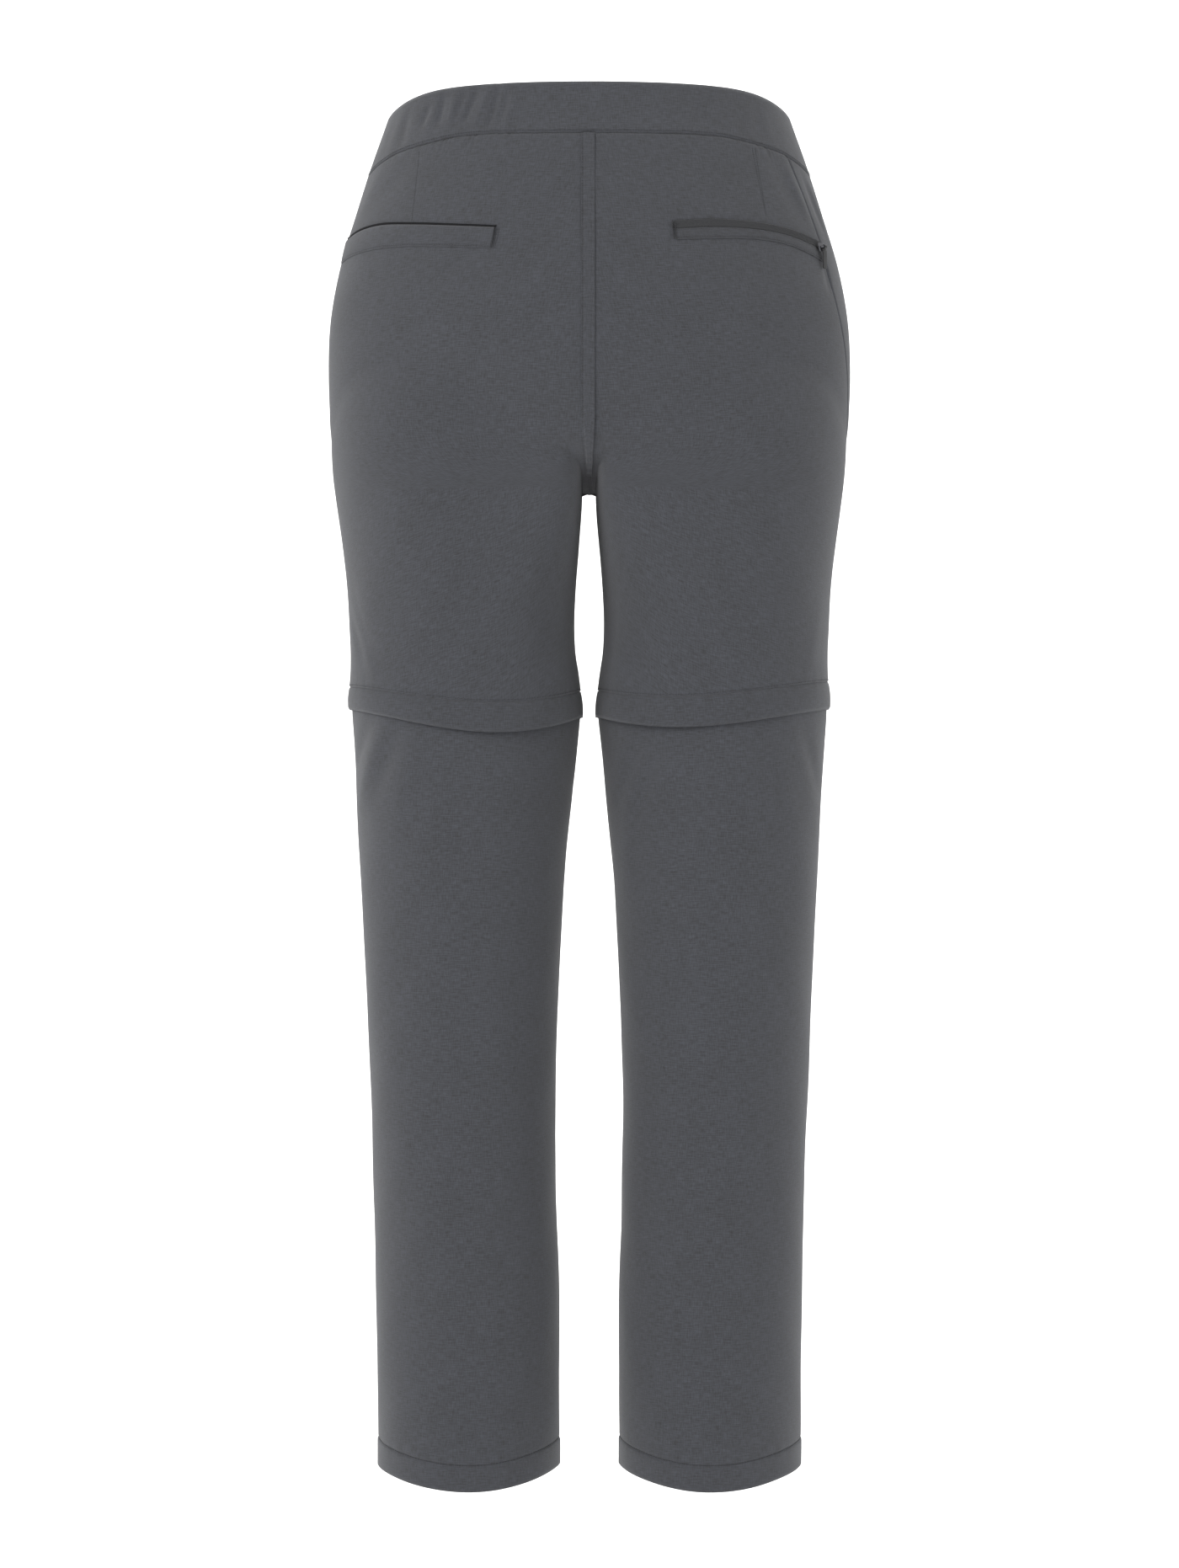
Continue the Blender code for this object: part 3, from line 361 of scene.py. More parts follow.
def thigh_point(angle, z):
    """Point on the outer face of the hips and thigh."""
    axis_x = AXIS.at("x", z)
    axis_y = AXIS.at("y", z)
    leg = leg_radius(THIGH, angle, z, axis_x, axis_y, THIGH.at("inner_power", z))
    leg = leg * (1.0 - fade(-0.19, -0.13, z))
    hips = hip_radius(angle, z)
    soft = 0.0015 + 0.004 * fade(math.radians(60), math.radians(110), np.abs(angle))
    overlap = np.maximum(soft - np.abs(leg - hips), 0.0) / soft
    radius = np.maximum(leg, hips) + overlap ** 2 * soft / 4.0
    return on_axis(axis_x, axis_y, radius, angle, z)


def lower_point(angle, z):
    """Point on the outer face of the lower leg."""
    axis_x = (LOWER_LEG.at("outer", z) + LOWER_LEG.at("inner", z)) / 2.0
    axis_y = (LOWER_LEG.at("back", z) + LOWER_LEG.at("front", z)) / 2.0
    radius = leg_radius(LOWER_LEG, angle, z, axis_x, axis_y, LEG_POWER)
    return on_axis(axis_x, axis_y, radius, angle, z)


def outward(point, angle, z):
    """Unit normals of a surface, pointing out of the garment."""
    turn = 0.002
    rise = 0.0005
    around = point(angle + turn, z) - point(angle - turn, z)
    upward = point(angle, z + rise) - point(angle, z - rise)
    normal = np.cross(around, upward)
    return normal / np.linalg.norm(normal, axis=-1, keepdims=True)


def lifted(point, angle, z, lift):
    """Points of a surface moved out by lift, which may vary over the surface."""
    lift = lift + 0.0 * angle * z
    return point(angle, z) + outward(point, angle, z) * lift[..., None]


def beside_line(place, start, end):
    """Share along a line, and distance from it, of each place."""
    run = end - start
    along = np.clip((place - start) @ run / (run @ run), 0.0, 1.0)
    return along, np.linalg.norm(place - start - along[..., None] * run, axis=-1)


def crease_lift(creases, side, angle, z):
    """Height of the creases that cross a point."""
    lift = 0.0 * angle * z
    place = np.stack([angle * THIGH_RADIUS + 0.0 * z, z + 0.0 * angle], -1)
    for leg, degrees_a, z_a, degrees_b, z_b, width, height in creases:
        if leg == side:
            start = np.array([math.radians(degrees_a) * THIGH_RADIUS, z_a])
            end = np.array([math.radians(degrees_b) * THIGH_RADIUS, z_b])
            along, off = beside_line(place, start, end)
            ridge = np.exp(-(off / width) ** 2) * (0.35 + 0.65 * np.sin(math.pi * along))
            lift = lift + height * ridge
    return lift


def leg_line(line, side, angle):
    """Height of a seam that crosses a leg."""
    row = line["left" if side > 0 else "right"]
    share = (1.0 - np.cos(angle)) / 2.0
    dip = np.where(np.sin(angle) >= 0.0, row["back_dip"], row["front_dip"])
    lowest = np.abs(np.sin(angle - math.radians(row["turn"]) * np.sin(angle))) ** DIP_POWER
    return row["outer"] + (row["inner"] - row["outer"]) * share - dip * lowest


def side_angle(side, z):
    """Angle of a side seam."""
    return np.radians(SIDE_SEAM.at("left" if side > 0 else "right", z))


def centre_angle(back, z):
    """Angle of the centre seam, where the left half meets the right."""
    depth = hip_depth(z, back)
    return np.arctan2(depth if back else -depth, -AXIS.at("x", z))


def waist_height(angle, level):
    """Height of the waistband's lower edge, level 0, to its upper edge, level 1."""
    centre = np.where(np.sin(angle) >= 0.0, WAIST_TOP_BACK, WAIST_TOP_FRONT)
    sideways = np.clip(np.cos(angle), 0.0, 1.0)
    top = centre + (WAIST_TOP_SIDE - centre) * sideways ** 9
    height = BAND_HEIGHT + (BAND_HEIGHT_SIDE - BAND_HEIGHT) * sideways ** 1.2
    seam = np.where(np.sin(angle) >= 0.0, BACK_BAND_SEAM.at("height", np.degrees(angle)), top - height)
    return seam + (top - seam) * level


def band_place(back, share, level):
    """Angle and height on a waistband, from the centre, share 0, to the band's side seam, 1."""
    z = -0.01
    for _ in range(3):
        centre = centre_angle(back, z)
        angle = centre + (math.radians(BAND_SEAM_ANGLE) - centre) * share
        z = waist_height(angle, level)
    return angle, z


def to_side(points, side):
    """The left half's points, or their mirror image for the right half."""
    return points * np.array([side, 1.0, 1.0])


def knee_zip_point(angle, z, depth, lower_share):
    """Point under the knee flap, between the shorts' surface and the lower leg's."""
    upper = lifted(thigh_point, angle, z, -depth)
    lower = lifted(lower_point, angle, z, -depth)
    return upper + (lower - upper) * lower_share


def centre_seam(back, heights, x):
    """Points at some heights and at a distance x from the centre seam, and their normals."""
    sign = 1.0 if back else -1.0
    centre_y = AXIS.at("y", heights) + sign * np.maximum(hip_depth(heights, back), GAP / 2.0)
    tangent = np.stack([np.gradient(centre_y), np.gradient(heights)], -1)
    tangent /= np.linalg.norm(tangent, axis=1, keepdims=True)
    normal = np.stack([0.0 * centre_y, -sign * tangent[:, 1], sign * tangent[:, 0]], -1)
    return np.stack([x + 0.0 * centre_y, centre_y, heights], -1), normal


def panel_rows(side, back, seat_rows, turn_rows, leg_rows):
    """Heights of a shorts panel's rows at its inner and side edges, and how many lie on the hips."""
    turn_z = BACK_TURN_Z if back else FRONT_TURN_Z
    inner_top = float(waist_height(centre_angle(back, -0.02), 0.0))
    side_top = float(waist_height(side_angle(side, -0.03), 0.0))
    knee_inner = leg_line(KNEE_SEAM, side, math.pi)
    knee_outer = leg_line(KNEE_SEAM, side, 0.0)
    turns = np.linspace(0.0, math.pi / 2.0, turn_rows + 1)[1:]
    seat_z = np.linspace(inner_top, turn_z, seat_rows + 1)
    floor_z = turn_z - (turn_z - CROTCH_Z) * np.sin(turns) ** (2.0 / FLOOR_POWER)
    leg_z = np.linspace(CROTCH_Z - INSEAM_START_DROP, knee_inner, leg_rows + 1)
    side_z = np.concatenate([
        np.linspace(side_top, SIDE_TURN_TOP, seat_rows + 1),
        np.linspace(SIDE_TURN_TOP, SIDE_TURN_END, turn_rows + 1)[1:],
        np.linspace(SIDE_LEG_START, knee_outer, leg_rows + 1),
    ])
    inner_z = np.concatenate([seat_z, floor_z, leg_z])
    hip_rows = seat_rows + turn_rows + 1
    return inner_z, side_z, hip_rows


class Value:
    """A number that varies over a surface, for plain arithmetic in a material."""

    def __init__(self, finish, socket):
        self.finish = finish
        self.socket = socket

    def work(self, operation, *other):
        """This value put through a maths node, with another value if one is given."""
        inputs = dict(enumerate((self, *other)))
        node = self.finish.node("ShaderNodeMath", {"operation": operation}, inputs)
        return Value(self.finish, node.outputs[0])

    def __add__(self, other):
        return self.work("ADD", other)

    def __sub__(self, other):
        return self.work("SUBTRACT", other)

    def __mul__(self, other):
        return self.work("MULTIPLY", other)

    def sine(self):
        return self.work("SINE")


class Finish:
    """One material: a Principled shader and the nodes that vary it."""

    def __init__(self, name, colour, roughness, **fixed):
        self.material = bpy.data.materials.new(name)
        self.material.use_nodes = True
        self.tree = self.material.node_tree
        self.shader = self.tree.nodes["Principled BSDF"]
        self.shader.inputs["Base Color"].default_value = (*colour, 1.0)
        self.shader.inputs["Roughness"].default_value = roughness
        for socket, value in fixed.items():
            self.shader.inputs[socket.replace("_", " ")].default_value = value

    def node(self, kind, settings=None, values=None):
        """A node with its settings, and values or links on its sockets."""
        made = self.tree.nodes.new(kind)
        for name, setting in (settings or {}).items():
            setattr(made, name, setting)
        for socket, value in (values or {}).items():
            self.feed(made.inputs[socket], value)
        return made

    def feed(self, socket, value):
        """Set a socket, or link it."""
        if isinstance(value, Value):
            value = value.socket
        if isinstance(value, bpy.types.NodeSocket):
            self.tree.links.new(value, socket)
        else:
            socket.default_value = value

    def cloth_place(self):
        """Distances on the cloth in metres, across and along the grain."""
        place = self.node("ShaderNodeUVMap", {"uv_map": "cloth"})
        parts = self.node("ShaderNodeSeparateXYZ", None, {0: place.outputs[0]})
        return Value(self, parts.outputs[0]), Value(self, parts.outputs[1])

    def noise(self, across, along, detail=2.0, roughness=0.6):
        """Noise between 0 and 1, at its own scale across and along."""
        place = self.node("ShaderNodeCombineXYZ", None, {0: across, 1: along})
        inputs = {"Vector": place.outputs[0], "Scale": 1.0, "Detail": detail, "Roughness": roughness}
        made = self.node("ShaderNodeTexNoise", {"noise_dimensions": "2D"}, inputs)
        return Value(self, made.outputs[0])

    def object_noise(self, scale, detail=2.0):
        """Noise over the piece's own coordinates."""
        place = self.node("ShaderNodeTexCoord")
        inputs = {"Vector": place.outputs["Object"], "Scale": scale, "Detail": detail}
        made = self.node("ShaderNodeTexNoise", None, inputs)
        return Value(self, made.outputs[0])

    def tone(self, level, dark, light):
        """Base colour from dark to light by a level between 0 and 1."""
        mix = self.node("ShaderNodeMix", {"data_type": "RGBA"}, {0: level})
        mix.inputs[6].default_value = (*dark, 1.0)
        mix.inputs[7].default_value = (*light, 1.0)
        self.tree.links.new(mix.outputs[2], self.shader.inputs["Base Color"])

    def relief(self, height, distance, strength=1.0):
        """Fine bumps, with the height between 0 and 1."""
        inputs = {"Strength": strength, "Distance": distance, "Height": height}
        bump = self.node("ShaderNodeBump", None, inputs)
        self.tree.links.new(bump.outputs[0], self.shader.inputs["Normal"])

    def roughen(self, level):
        """Roughness by a level between 0 and 1."""
        self.feed(self.shader.inputs["Roughness"], level)


def scaled(colour, share):
    """A colour made darker or lighter."""
    return tuple(part * share for part in colour)


def woven_cloth(name, colour, sheen=0.16, contrast=1.0):
    """Plain-woven nylon: crossing threads, slubs running both ways and a faint mottle."""
    finish = Finish(name, colour, 0.78, Sheen_Weight=sheen, Sheen_Roughness=0.8,
                    Specular_IOR_Level=0.2)
    across, along = finish.cloth_place()
    turn = 2.0 * math.pi / THREAD_PITCH
    weave = (across * turn).sine() * (along * turn).sine() * 0.5 + 0.5
    weft = finish.noise(across * WEFT_LONG, along * SLUB_FINE)
    warp = finish.noise(across * SLUB_FINE, along * WARP_LONG)
    mottle = finish.noise(across * MOTTLE_SCALE, along * MOTTLE_SCALE, 3.0)
    level = weft * 0.48 + warp * 0.36 + mottle * 0.1 + weave * 0.06
    dark = scaled(colour, 1.0 - contrast)
    finish.tone((level - 0.5) * 2.0 + 0.5, dark, scaled(colour, 1.0 + contrast))
    finish.relief(weave * 0.35 + weft * 0.35 + warp * 0.3, 0.0002, 0.6)
    finish.roughen(weft * 0.16 + 0.7)
    return finish.material


def zip_tape_cloth(name, colour):
    """Herringbone zip tape."""
    finish = Finish(name, colour, 0.72, Sheen_Weight=0.1)
    across, along = finish.cloth_place()
    zigzag = (across * (2.0 * math.pi / ZIGZAG_PITCH)).sine() * 1.6
    ribs = (along * (2.0 * math.pi / RIB_PITCH) + zigzag).sine() * 0.5 + 0.5
    yarn = finish.noise(across * YARN_SCALE, along * YARN_SCALE, 2.0, 0.5)
    finish.tone(ribs * 0.55 + yarn * 0.45, scaled(colour, 0.72), scaled(colour, 1.28))
    finish.relief(ribs, 0.0002, 0.7)
    return finish.material


def thread_finish(name, colour):
    """Twisted sewing thread."""
    finish = Finish(name, colour, 0.62, Sheen_Weight=0.1)
    twist = finish.object_noise(1800.0, 1.0)
    finish.tone(twist, scaled(colour, 0.75), scaled(colour, 1.25))
    finish.relief(twist, 0.0001, 0.5)
    return finish.material


def moulded_plastic(name, colour, roughness):
    """Moulded plastic with a fine grain."""
    finish = Finish(name, colour, roughness)
    grain = finish.object_noise(2600.0, 2.0)
    wear = finish.object_noise(320.0, 3.0)
    finish.tone(wear, scaled(colour, 0.85), scaled(colour, 1.2))
    finish.relief(grain, 0.00008, 0.4)
    finish.roughen(grain * 0.15 + (roughness - 0.07))
    return finish.material


def brushed_metal(name, colour, roughness):
    """Dark plated metal with fine scratches."""
    finish = Finish(name, colour, roughness, Metallic=0.95)
    scratch = finish.object_noise(3000.0, 3.0)
    patch = finish.object_noise(500.0, 2.0)
    finish.tone(patch, scaled(colour, 0.8), scaled(colour, 1.15))
    finish.relief(scratch, 0.00005, 0.3)
    finish.roughen(patch * 0.2 + (roughness - 0.08))
    return finish.material


# Weave: pitch of its threads, scales of the slubs and the mottle, and the zip tape's ribs and yarn
THREAD_PITCH = 0.0007
SLUB_FINE = 1350.0
WEFT_LONG = 130.0
WARP_LONG = 170.0
MOTTLE_SCALE = 30.0
RIB_PITCH = 0.0011
ZIGZAG_PITCH = 0.0032
YARN_SCALE = 900.0

# Sizes that turn an angle into a distance on the cloth
THIGH_RADIUS = 0.088
SHIN_RADIUS = 0.07
RIPPLE_RADIUS = 0.09
WAIST_RADIUS = 0.15
TRIM_RADIUS = 0.16
LEG_AXIS = 0.095

# Seams
SEAM_ROLL_WIDTH = 0.0013
SEAM_DEPTH = 0.0009
SHORTS_WIDTH = 0.3
SHIN_WIDTH = 0.24
BAND_END = 0.99999
BAND_HALF = 0.21
WAVE_STEPS = 12
MEETING = 0.0002
TUCK_DEPTH = 0.0008
TUCK_START = -0.0002
TUCK_END = 0.0014
BAND_TUCK = np.array([0.001, -0.0002, -0.0008, -0.0015])
KNEE_TUCK = np.array([-0.0015, -0.0008, -0.0002, 0.001])
HEM_GROOVE = 0.0007
HEM_SEWING_ROWS = np.array([0.002, 0.0012, 0.0006, 0.0, -0.0006, -0.0012, -0.0022])
TOOTH_PITCH = 0.0015
TOOTH_DEPTH = 0.00016

# Pitch, length and half thickness of the stitches
SEWING = {
    "band_sewing_back": (0.0021, 0.0014, 0.00024),
    "knee_seam_sewing": (0.0024, 0.0016, 0.00024),
    "hem_sewing": (0.0024, 0.0018, 0.00026),
    "welt_end_bar": (0.0011, 0.0016, 0.00026),
    "welt_edge_sewing": (0.0021, 0.0015, 0.0002),
    "pocket_zip_sewing": (0.002, 0.0013, 0.00024),
    "pocket_zip_end_bar": (0.001, 0.0016, 0.0004),
    "seat_seam_sewing": (0.0021, 0.0016, 0.00022),
    "dart_sewing": (0.0016, 0.0016, 0.00015),
    "fly_sewing": (0.0031, 0.0022, 0.00028),
}

# Trims across their width: share down the strip, height above the seat, share of the teeth's height
WELT_PROFILE = ((0.0, 0.0007), (0.05, 0.0014), (0.12, 0.0016), (0.5, 0.0013), (0.84, 0.001),
                (0.9, 0.0005), (0.95, 0.0008), (1.0, 0.0004))
MOUTH_PROFILE = ((-0.105, 0.0004), (-0.08, 0.0012), (-0.01, 0.0009), (0.04, 0.0004), (0.8, 0.0003))
ZIP_PROFILE = ((0.0, 0.0016), (0.05, 0.0009), (0.1, 0.0005, 0.4), (0.2, 0.0006, 1.0),
               (0.3, 0.0009, 1.0), (0.345, 0.0012, 0.6), (0.38, 0.0002), (0.415, 0.0012, 0.6),
               (0.46, 0.001, 0.5), (0.55, 0.001, 0.2), (0.8, 0.0013), (0.88, 0.0009),
               (0.94, 0.0013), (1.0, 0.0005))
LIP_ROW = 7


def ripple(side, angle, z, height):
    """Slow unevenness of worn cloth, between minus and plus the height."""
    place = angle * RIPPLE_RADIUS
    sway = np.sin(place * 61.0 + z * 23.0 + side * 1.3)
    sway = sway + 0.8 * np.sin(place * -37.0 + z * 47.0 + side * 2.1)
    sway = sway + 0.6 * np.sin(place * 103.0 - z * 71.0 + side * 0.7)
    return height * sway / 2.4


def pucker(distance, along, reach, pitch, height):
    """Small troughs that a line of sewing draws in the cloth beside it."""
    uneven = 0.6 + 0.4 * np.sin(along * 2.0 * math.pi / (pitch * 5.3) + 1.1)
    drift = 2.2 * np.sin(along * 2.0 * math.pi / (pitch * 3.7))
    wave = 0.5 + 0.5 * np.sin(along * 2.0 * math.pi / pitch + drift)
    return -height * wave * uneven * np.exp(-np.maximum(distance, 0.0) / reach)


def thigh_lift(side, angle, z):
    """Everything that raises or sinks the cloth of the shorts part."""
    knee = leg_line(KNEE_SEAM, side, angle)
    folds = crease_lift(THIGH_CREASES, side, angle, z) + ripple(side, angle, z, 0.0004)
    folds = folds * fade(0.0, 0.012, z - knee)
    return folds + pucker(z - knee, angle * THIGH_RADIUS, 0.008, 0.0085, 0.00025)


def shin_lift(side, angle, z):
    """Everything that raises or sinks the cloth of a lower leg."""
    hem = leg_line(HEM_EDGE, side, angle) + HEM_DEPTH
    folds = crease_lift(LOWER_CREASES, side, angle, z) + ripple(side, angle, z, 0.0005)
    return folds + pucker(np.abs(z - hem), angle * SHIN_RADIUS, 0.006, 0.009, 0.0003)


def new_object(name, shape, finishes):
    """An object made of a finished bmesh."""
    mesh = bpy.data.meshes.new(name)
    shape.to_mesh(mesh)
    shape.free()
    for finish in finishes:
        mesh.materials.append(finish)
    mesh.shade_smooth()
    piece = bpy.data.objects.new(name, mesh)
    bpy.context.scene.collection.objects.link(piece)
    return piece


def grid_piece(name, points, thickness, material, ring=False, grain=0.5, lower=None, lower_row=0):
    """A thin sheet through a grid of points, across by down, with a UV map in metres of cloth.

    A second material, lower, takes over below a row.
    """
    columns = points.shape[0] - 1
    rows = points.shape[1] - 1
    width_steps = np.linalg.norm(np.diff(points, axis=0), axis=2)
    length_steps = np.linalg.norm(np.diff(points, axis=1), axis=2)
    across = np.concatenate([np.zeros((1, rows + 1)), np.cumsum(width_steps, 0)])
    across = across - across[int(columns * grain)]
    down = np.concatenate([np.zeros((columns + 1, 1)), np.cumsum(length_steps, 1)], 1)
    down = points[:, :1, 2] - down
    sheet = bmesh.new()
    bmesh.ops.create_grid(sheet, x_segments=columns, y_segments=rows, size=1.0)
    cloth = sheet.loops.layers.uv.new("cloth")
    cell = {vert: (round((vert.co.x + 1.0) / 2.0 * columns), round((vert.co.y + 1.0) / 2.0 * rows))
            for vert in sheet.verts}
    for face in sheet.faces:
        for loop in face.loops:
            loop[cloth].uv = (across[cell[loop.vert]], down[cell[loop.vert]])
        if lower and min(cell[vert][1] for vert in face.verts) >= lower_row:
            face.material_index = 1
    for vert in sheet.verts:
        vert.co = points[cell[vert]]
    if ring:
        bmesh.ops.remove_doubles(sheet, verts=sheet.verts, dist=1e-6)
    middle = float(points[..., 0].mean())
    step_across = points[1:, :-1] - points[:-1, :-1]
    step_down = points[:-1, 1:] - points[:-1, :-1]
    facing = np.cross(step_across, step_down)
    centre = math.copysign(LEG_AXIS, middle) if ring or abs(middle) > 0.03 else 0.0
    away = points[:-1, :-1, :2] - np.array([centre, 0.0])
    if float((facing[..., :2] * away).sum()) < 0.0:
        bmesh.ops.reverse_faces(sheet, faces=sheet.faces)
    piece = new_object(name, sheet, (material, lower) if lower else (material,))
    wall = piece.modifiers.new("wall", "SOLIDIFY")
    wall.thickness = thickness
    wall.offset = -1.0
    piece["cloth_area"] = float(np.linalg.norm(facing, axis=2).sum())
    piece["cloth_width"] = float(np.abs(across[-1] - across[0]).max())
    piece["cloth_length"] = float(length_steps.sum(1).max())
    return piece


def sewn(piece, node, rests_on):
    """Put a sheet on the garment, in the place of its solid if it has one."""
    if node:
        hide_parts(node)
    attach(piece, GARMENT)


def seam_shares(columns, inner_seam):
    """Shares across a panel, closer together beside its seams."""
    middle = np.linspace(0.0, 1.0, columns - 5)
    edges = [0.9975, 0.9945, 0.9905]
    if inner_seam:
        edges = edges + [0.0025, 0.0055, 0.0095]
    return np.unique(np.concatenate([middle, edges]))[:, None]


def seam_roll(share, width, inner_seam):
    """Cloth turned down into the seams at a panel's side edges."""
    roll = np.exp(-((1.0 - share) * width / SEAM_ROLL_WIDTH) ** 2)
    if inner_seam:
        roll = roll + np.exp(-(share * width / SEAM_ROLL_WIDTH) ** 2)
    return -SEAM_DEPTH * roll


def shorts_points(side, back, columns, fine):
    """Grid of a back or front panel of the shorts part."""
    inner_z, side_z, hip_rows = panel_rows(side, back, 9 * fine, 6 * fine, 5 * fine)
    rows = len(inner_z)
    sign = 1.0 if back else -1.0
    share = seam_shares(columns, not back)
    inner_angle = np.where(
        np.arange(rows) < hip_rows,
        np.arctan2(sign * np.maximum(hip_depth(inner_z, back), GAP / 2.0), -AXIS.at("x", inner_z)),
        sign * (math.pi - MEETING),
    )
    outer_angle = side_angle(side, side_z)
    angle = inner_angle + (outer_angle - inner_angle) * share
    z = inner_z + (side_z - inner_z) * share
    row_number = np.arange(rows) / fine
    last = (rows - 1) / fine
    near_top = np.clip(1.0 - row_number / 4.0, 0.0, 1.0) ** 2
    near_knee = np.clip(1.0 - (last - row_number) / 4.0, 0.0, 1.0) ** 2
    waist_seam = waist_height(angle[:, :1], 0.0) - 0.0002
    knee_seam = leg_line(KNEE_SEAM, side, angle[:, -1:]) + GAP / 2.0
    z = z + (waist_seam - z[:, :1]) * near_top + (knee_seam - z[:, -1:]) * near_knee
    tuck_rows = len(BAND_TUCK)
    first_angle = np.repeat(angle[:, :1], tuck_rows, 1)
    last_angle = np.repeat(angle[:, -1:], tuck_rows, 1)
    angle = np.concatenate([first_angle, angle[:, 1:-1], last_angle], 1)
    z = np.concatenate([z[:, :1] + BAND_TUCK, z[:, 1:-1], z[:, -1:] - KNEE_TUCK], 1)
    hip_rows += tuck_rows - 1
    lift = thigh_lift(side, angle, z) + seam_roll(share, SHORTS_WIDTH, not back)
    band_drop = waist_seam - z
    for drop in (band_drop, z - leg_line(KNEE_SEAM, side, angle)):
        lift = lift - TUCK_DEPTH * (1.0 - fade(TUCK_START, TUCK_END, drop))
    depth = band_pucker(side, angle, back)
    lift = lift + pucker(band_drop, angle * WAIST_RADIUS, 0.008, 0.0062, depth)
    outer = lifted(thigh_point, angle, z, lift)
    outer[0, :hip_rows] = centre_seam(back, z[0, :hip_rows], 0.0)[0]
    outer[:, :, 0] = np.maximum(outer[:, :, 0], 0.0)
    return to_side(outer, side)


def band_pucker(side, angle, back):
    """Depth of the puckers under the waistband: deepest where the left back is gathered most."""
    plain = 0.0002
    if not back:
        return plain
    degrees = np.degrees(angle)
    if side > 0.0:
        return plain + 0.00075 * fade(35.0, 50.0, degrees) * (1.0 - fade(78.0, 95.0, degrees))
    return plain + 0.0005 * fade(28.0, 32.0, degrees) * (1.0 - fade(42.0, 50.0, degrees))


def lower_leg_points(side, back, columns, rows):
    """Grid of a back or front panel of a lower leg, with its hem turned up."""
    sign = 1.0 if back else -1.0
    share = seam_shares(columns, True)
    inner_angle = sign * (math.pi - MEETING)
    outer_angle = side_angle(side, -0.7)
    angle = inner_angle + (outer_angle - inner_angle) * share
    top = leg_line(KNEE_SEAM, side, angle) - ZIP_HEIGHT
    bottom = leg_line(HEM_EDGE, side, angle)
    hem_top = bottom + HEM_DEPTH
    body = top + (hem_top + 0.003 - top) * np.linspace(0.0, 1.0, rows)
    sewing = hem_top + HEM_SEWING_ROWS
    turn_up = hem_top - 0.0045 + (bottom - hem_top + 0.0045) * np.linspace(0.0, 1.0, 7)
    z = np.concatenate([body, sewing, turn_up], axis=1)
    lift = shin_lift(side, angle, z) + seam_roll(share, SHIN_WIDTH, True)
    lift = lift + HEM_STEP * fade(0.0002, -0.0016, z - hem_top)
    lift = lift - HEM_GROOVE * np.exp(-((z - hem_top) / 0.0009) ** 2)
    return to_side(lifted(lower_point, angle, z, lift), side)


# Gathers of the back band, by where they show in the picture: both ends, half width and height
BAND_CREASES = (
    (593, 100, 580, 150, 0.0026, -0.0017), (566, 103, 552, 139, 0.0028, -0.0018),
    (579, 104, 566, 146, 0.003, 0.0012), (540, 108, 534, 140, 0.0028, 0.0011),
    (525, 110, 520, 137, 0.0026, -0.0016), (507, 121, 500, 137, 0.0026, -0.0012),
    (612, 112, 600, 152, 0.0034, 0.0007), (480, 128, 474, 160, 0.0034, -0.0009),
    (552, 106, 543, 130, 0.0024, -0.0009), (604, 104, 596, 140, 0.0024, -0.0008),
    (847, 103, 836, 148, 0.0028, -0.0011), (830, 125, 825, 148, 0.0026, -0.0009),
    (860, 106, 850, 150, 0.0034, 0.0006), (905, 120, 898, 160, 0.0036, -0.0006),
    (765, 104, 760, 140, 0.006, -0.0004), (665, 120, 660, 152, 0.006, -0.0004),
)


def picture_place(across, down):
    """Distance to the wearer's left, and height, of a point on the back by its place in the picture."""
    return np.array([(699.5 - across) * 0.000626, (931.0 - down) * 0.000626 - 0.5])


def band_lift(points, level):
    """Slanting gathers of the back band, from where they show."""
    lift = np.zeros(points.shape[:2])
    place = points[..., [0, 2]]
    for x_a, y_a, x_b, y_b, width, height in BAND_CREASES:
        off = beside_line(place, picture_place(x_a, y_a), picture_place(x_b, y_b))[1]
        lift += height * np.exp(-(off / width) ** 2)
    return lift * (0.25 + 0.75 * np.sin(math.pi * np.clip(level, 0.06, 0.94)))


def band_points(stations, back, levels=14):
    """Grid of a stretch of waistband."""
    level = np.linspace(GAP / 2.0 / BAND_HEIGHT, 1.0, levels + 1)
    wave_share = np.interp(level, (0.0, 0.5, 1.0), (0.4, 1.0, 0.25))
    points = np.zeros((len(stations), levels + 1, 3))
    for column, (side, share, wave, step) in enumerate(stations):
        angle, z = band_place(back, share, level)
        points[column] = to_side(lifted(thigh_point, angle, z, step + wave * wave_share), side)
    return points[:, ::-1], level[::-1]


def band_end_dip(share):
    """The waistband's cloth turned in at its side seams, share 1."""
    return -SEAM_DEPTH * math.exp(-((1.0 - share) * BAND_HALF / SEAM_ROLL_WIDTH) ** 2)


def back_band_stations():
    """Stations of the elastic back band, from the wearer's right to the left."""
    count = GATHERS * WAVE_STEPS
    stations = []
    for i in range(count + 1):
        place = 2.0 * i / count - 1.0
        side = 1.0 if place > 0.0 else -1.0
        wave = i / WAVE_STEPS
        uneven = 0.55 + 0.45 * math.sin(2.4 * int(wave) + 0.6)
        height = 0.45 * GATHER_DEPTH * uneven * (0.75 + 0.25 * place)
        crest = (1.0 - math.cos(2.0 * math.pi * wave)) / 2.0
        ends = math.sin(math.pi * i / count) ** 0.4
        stations.append((side, abs(place) * BAND_END, height * ends * crest, band_end_dip(abs(place))))
    return stations


def raised(points, lift):
    """A grid of points moved out along its own normals."""
    normal = np.cross(np.gradient(points, axis=0), np.gradient(points, axis=1))
    normal /= np.linalg.norm(normal, axis=-1, keepdims=True)
    turned = np.sign((normal[..., :2] * points[..., :2]).sum(-1, keepdims=True))
    return points + normal * turned * lift[..., None]


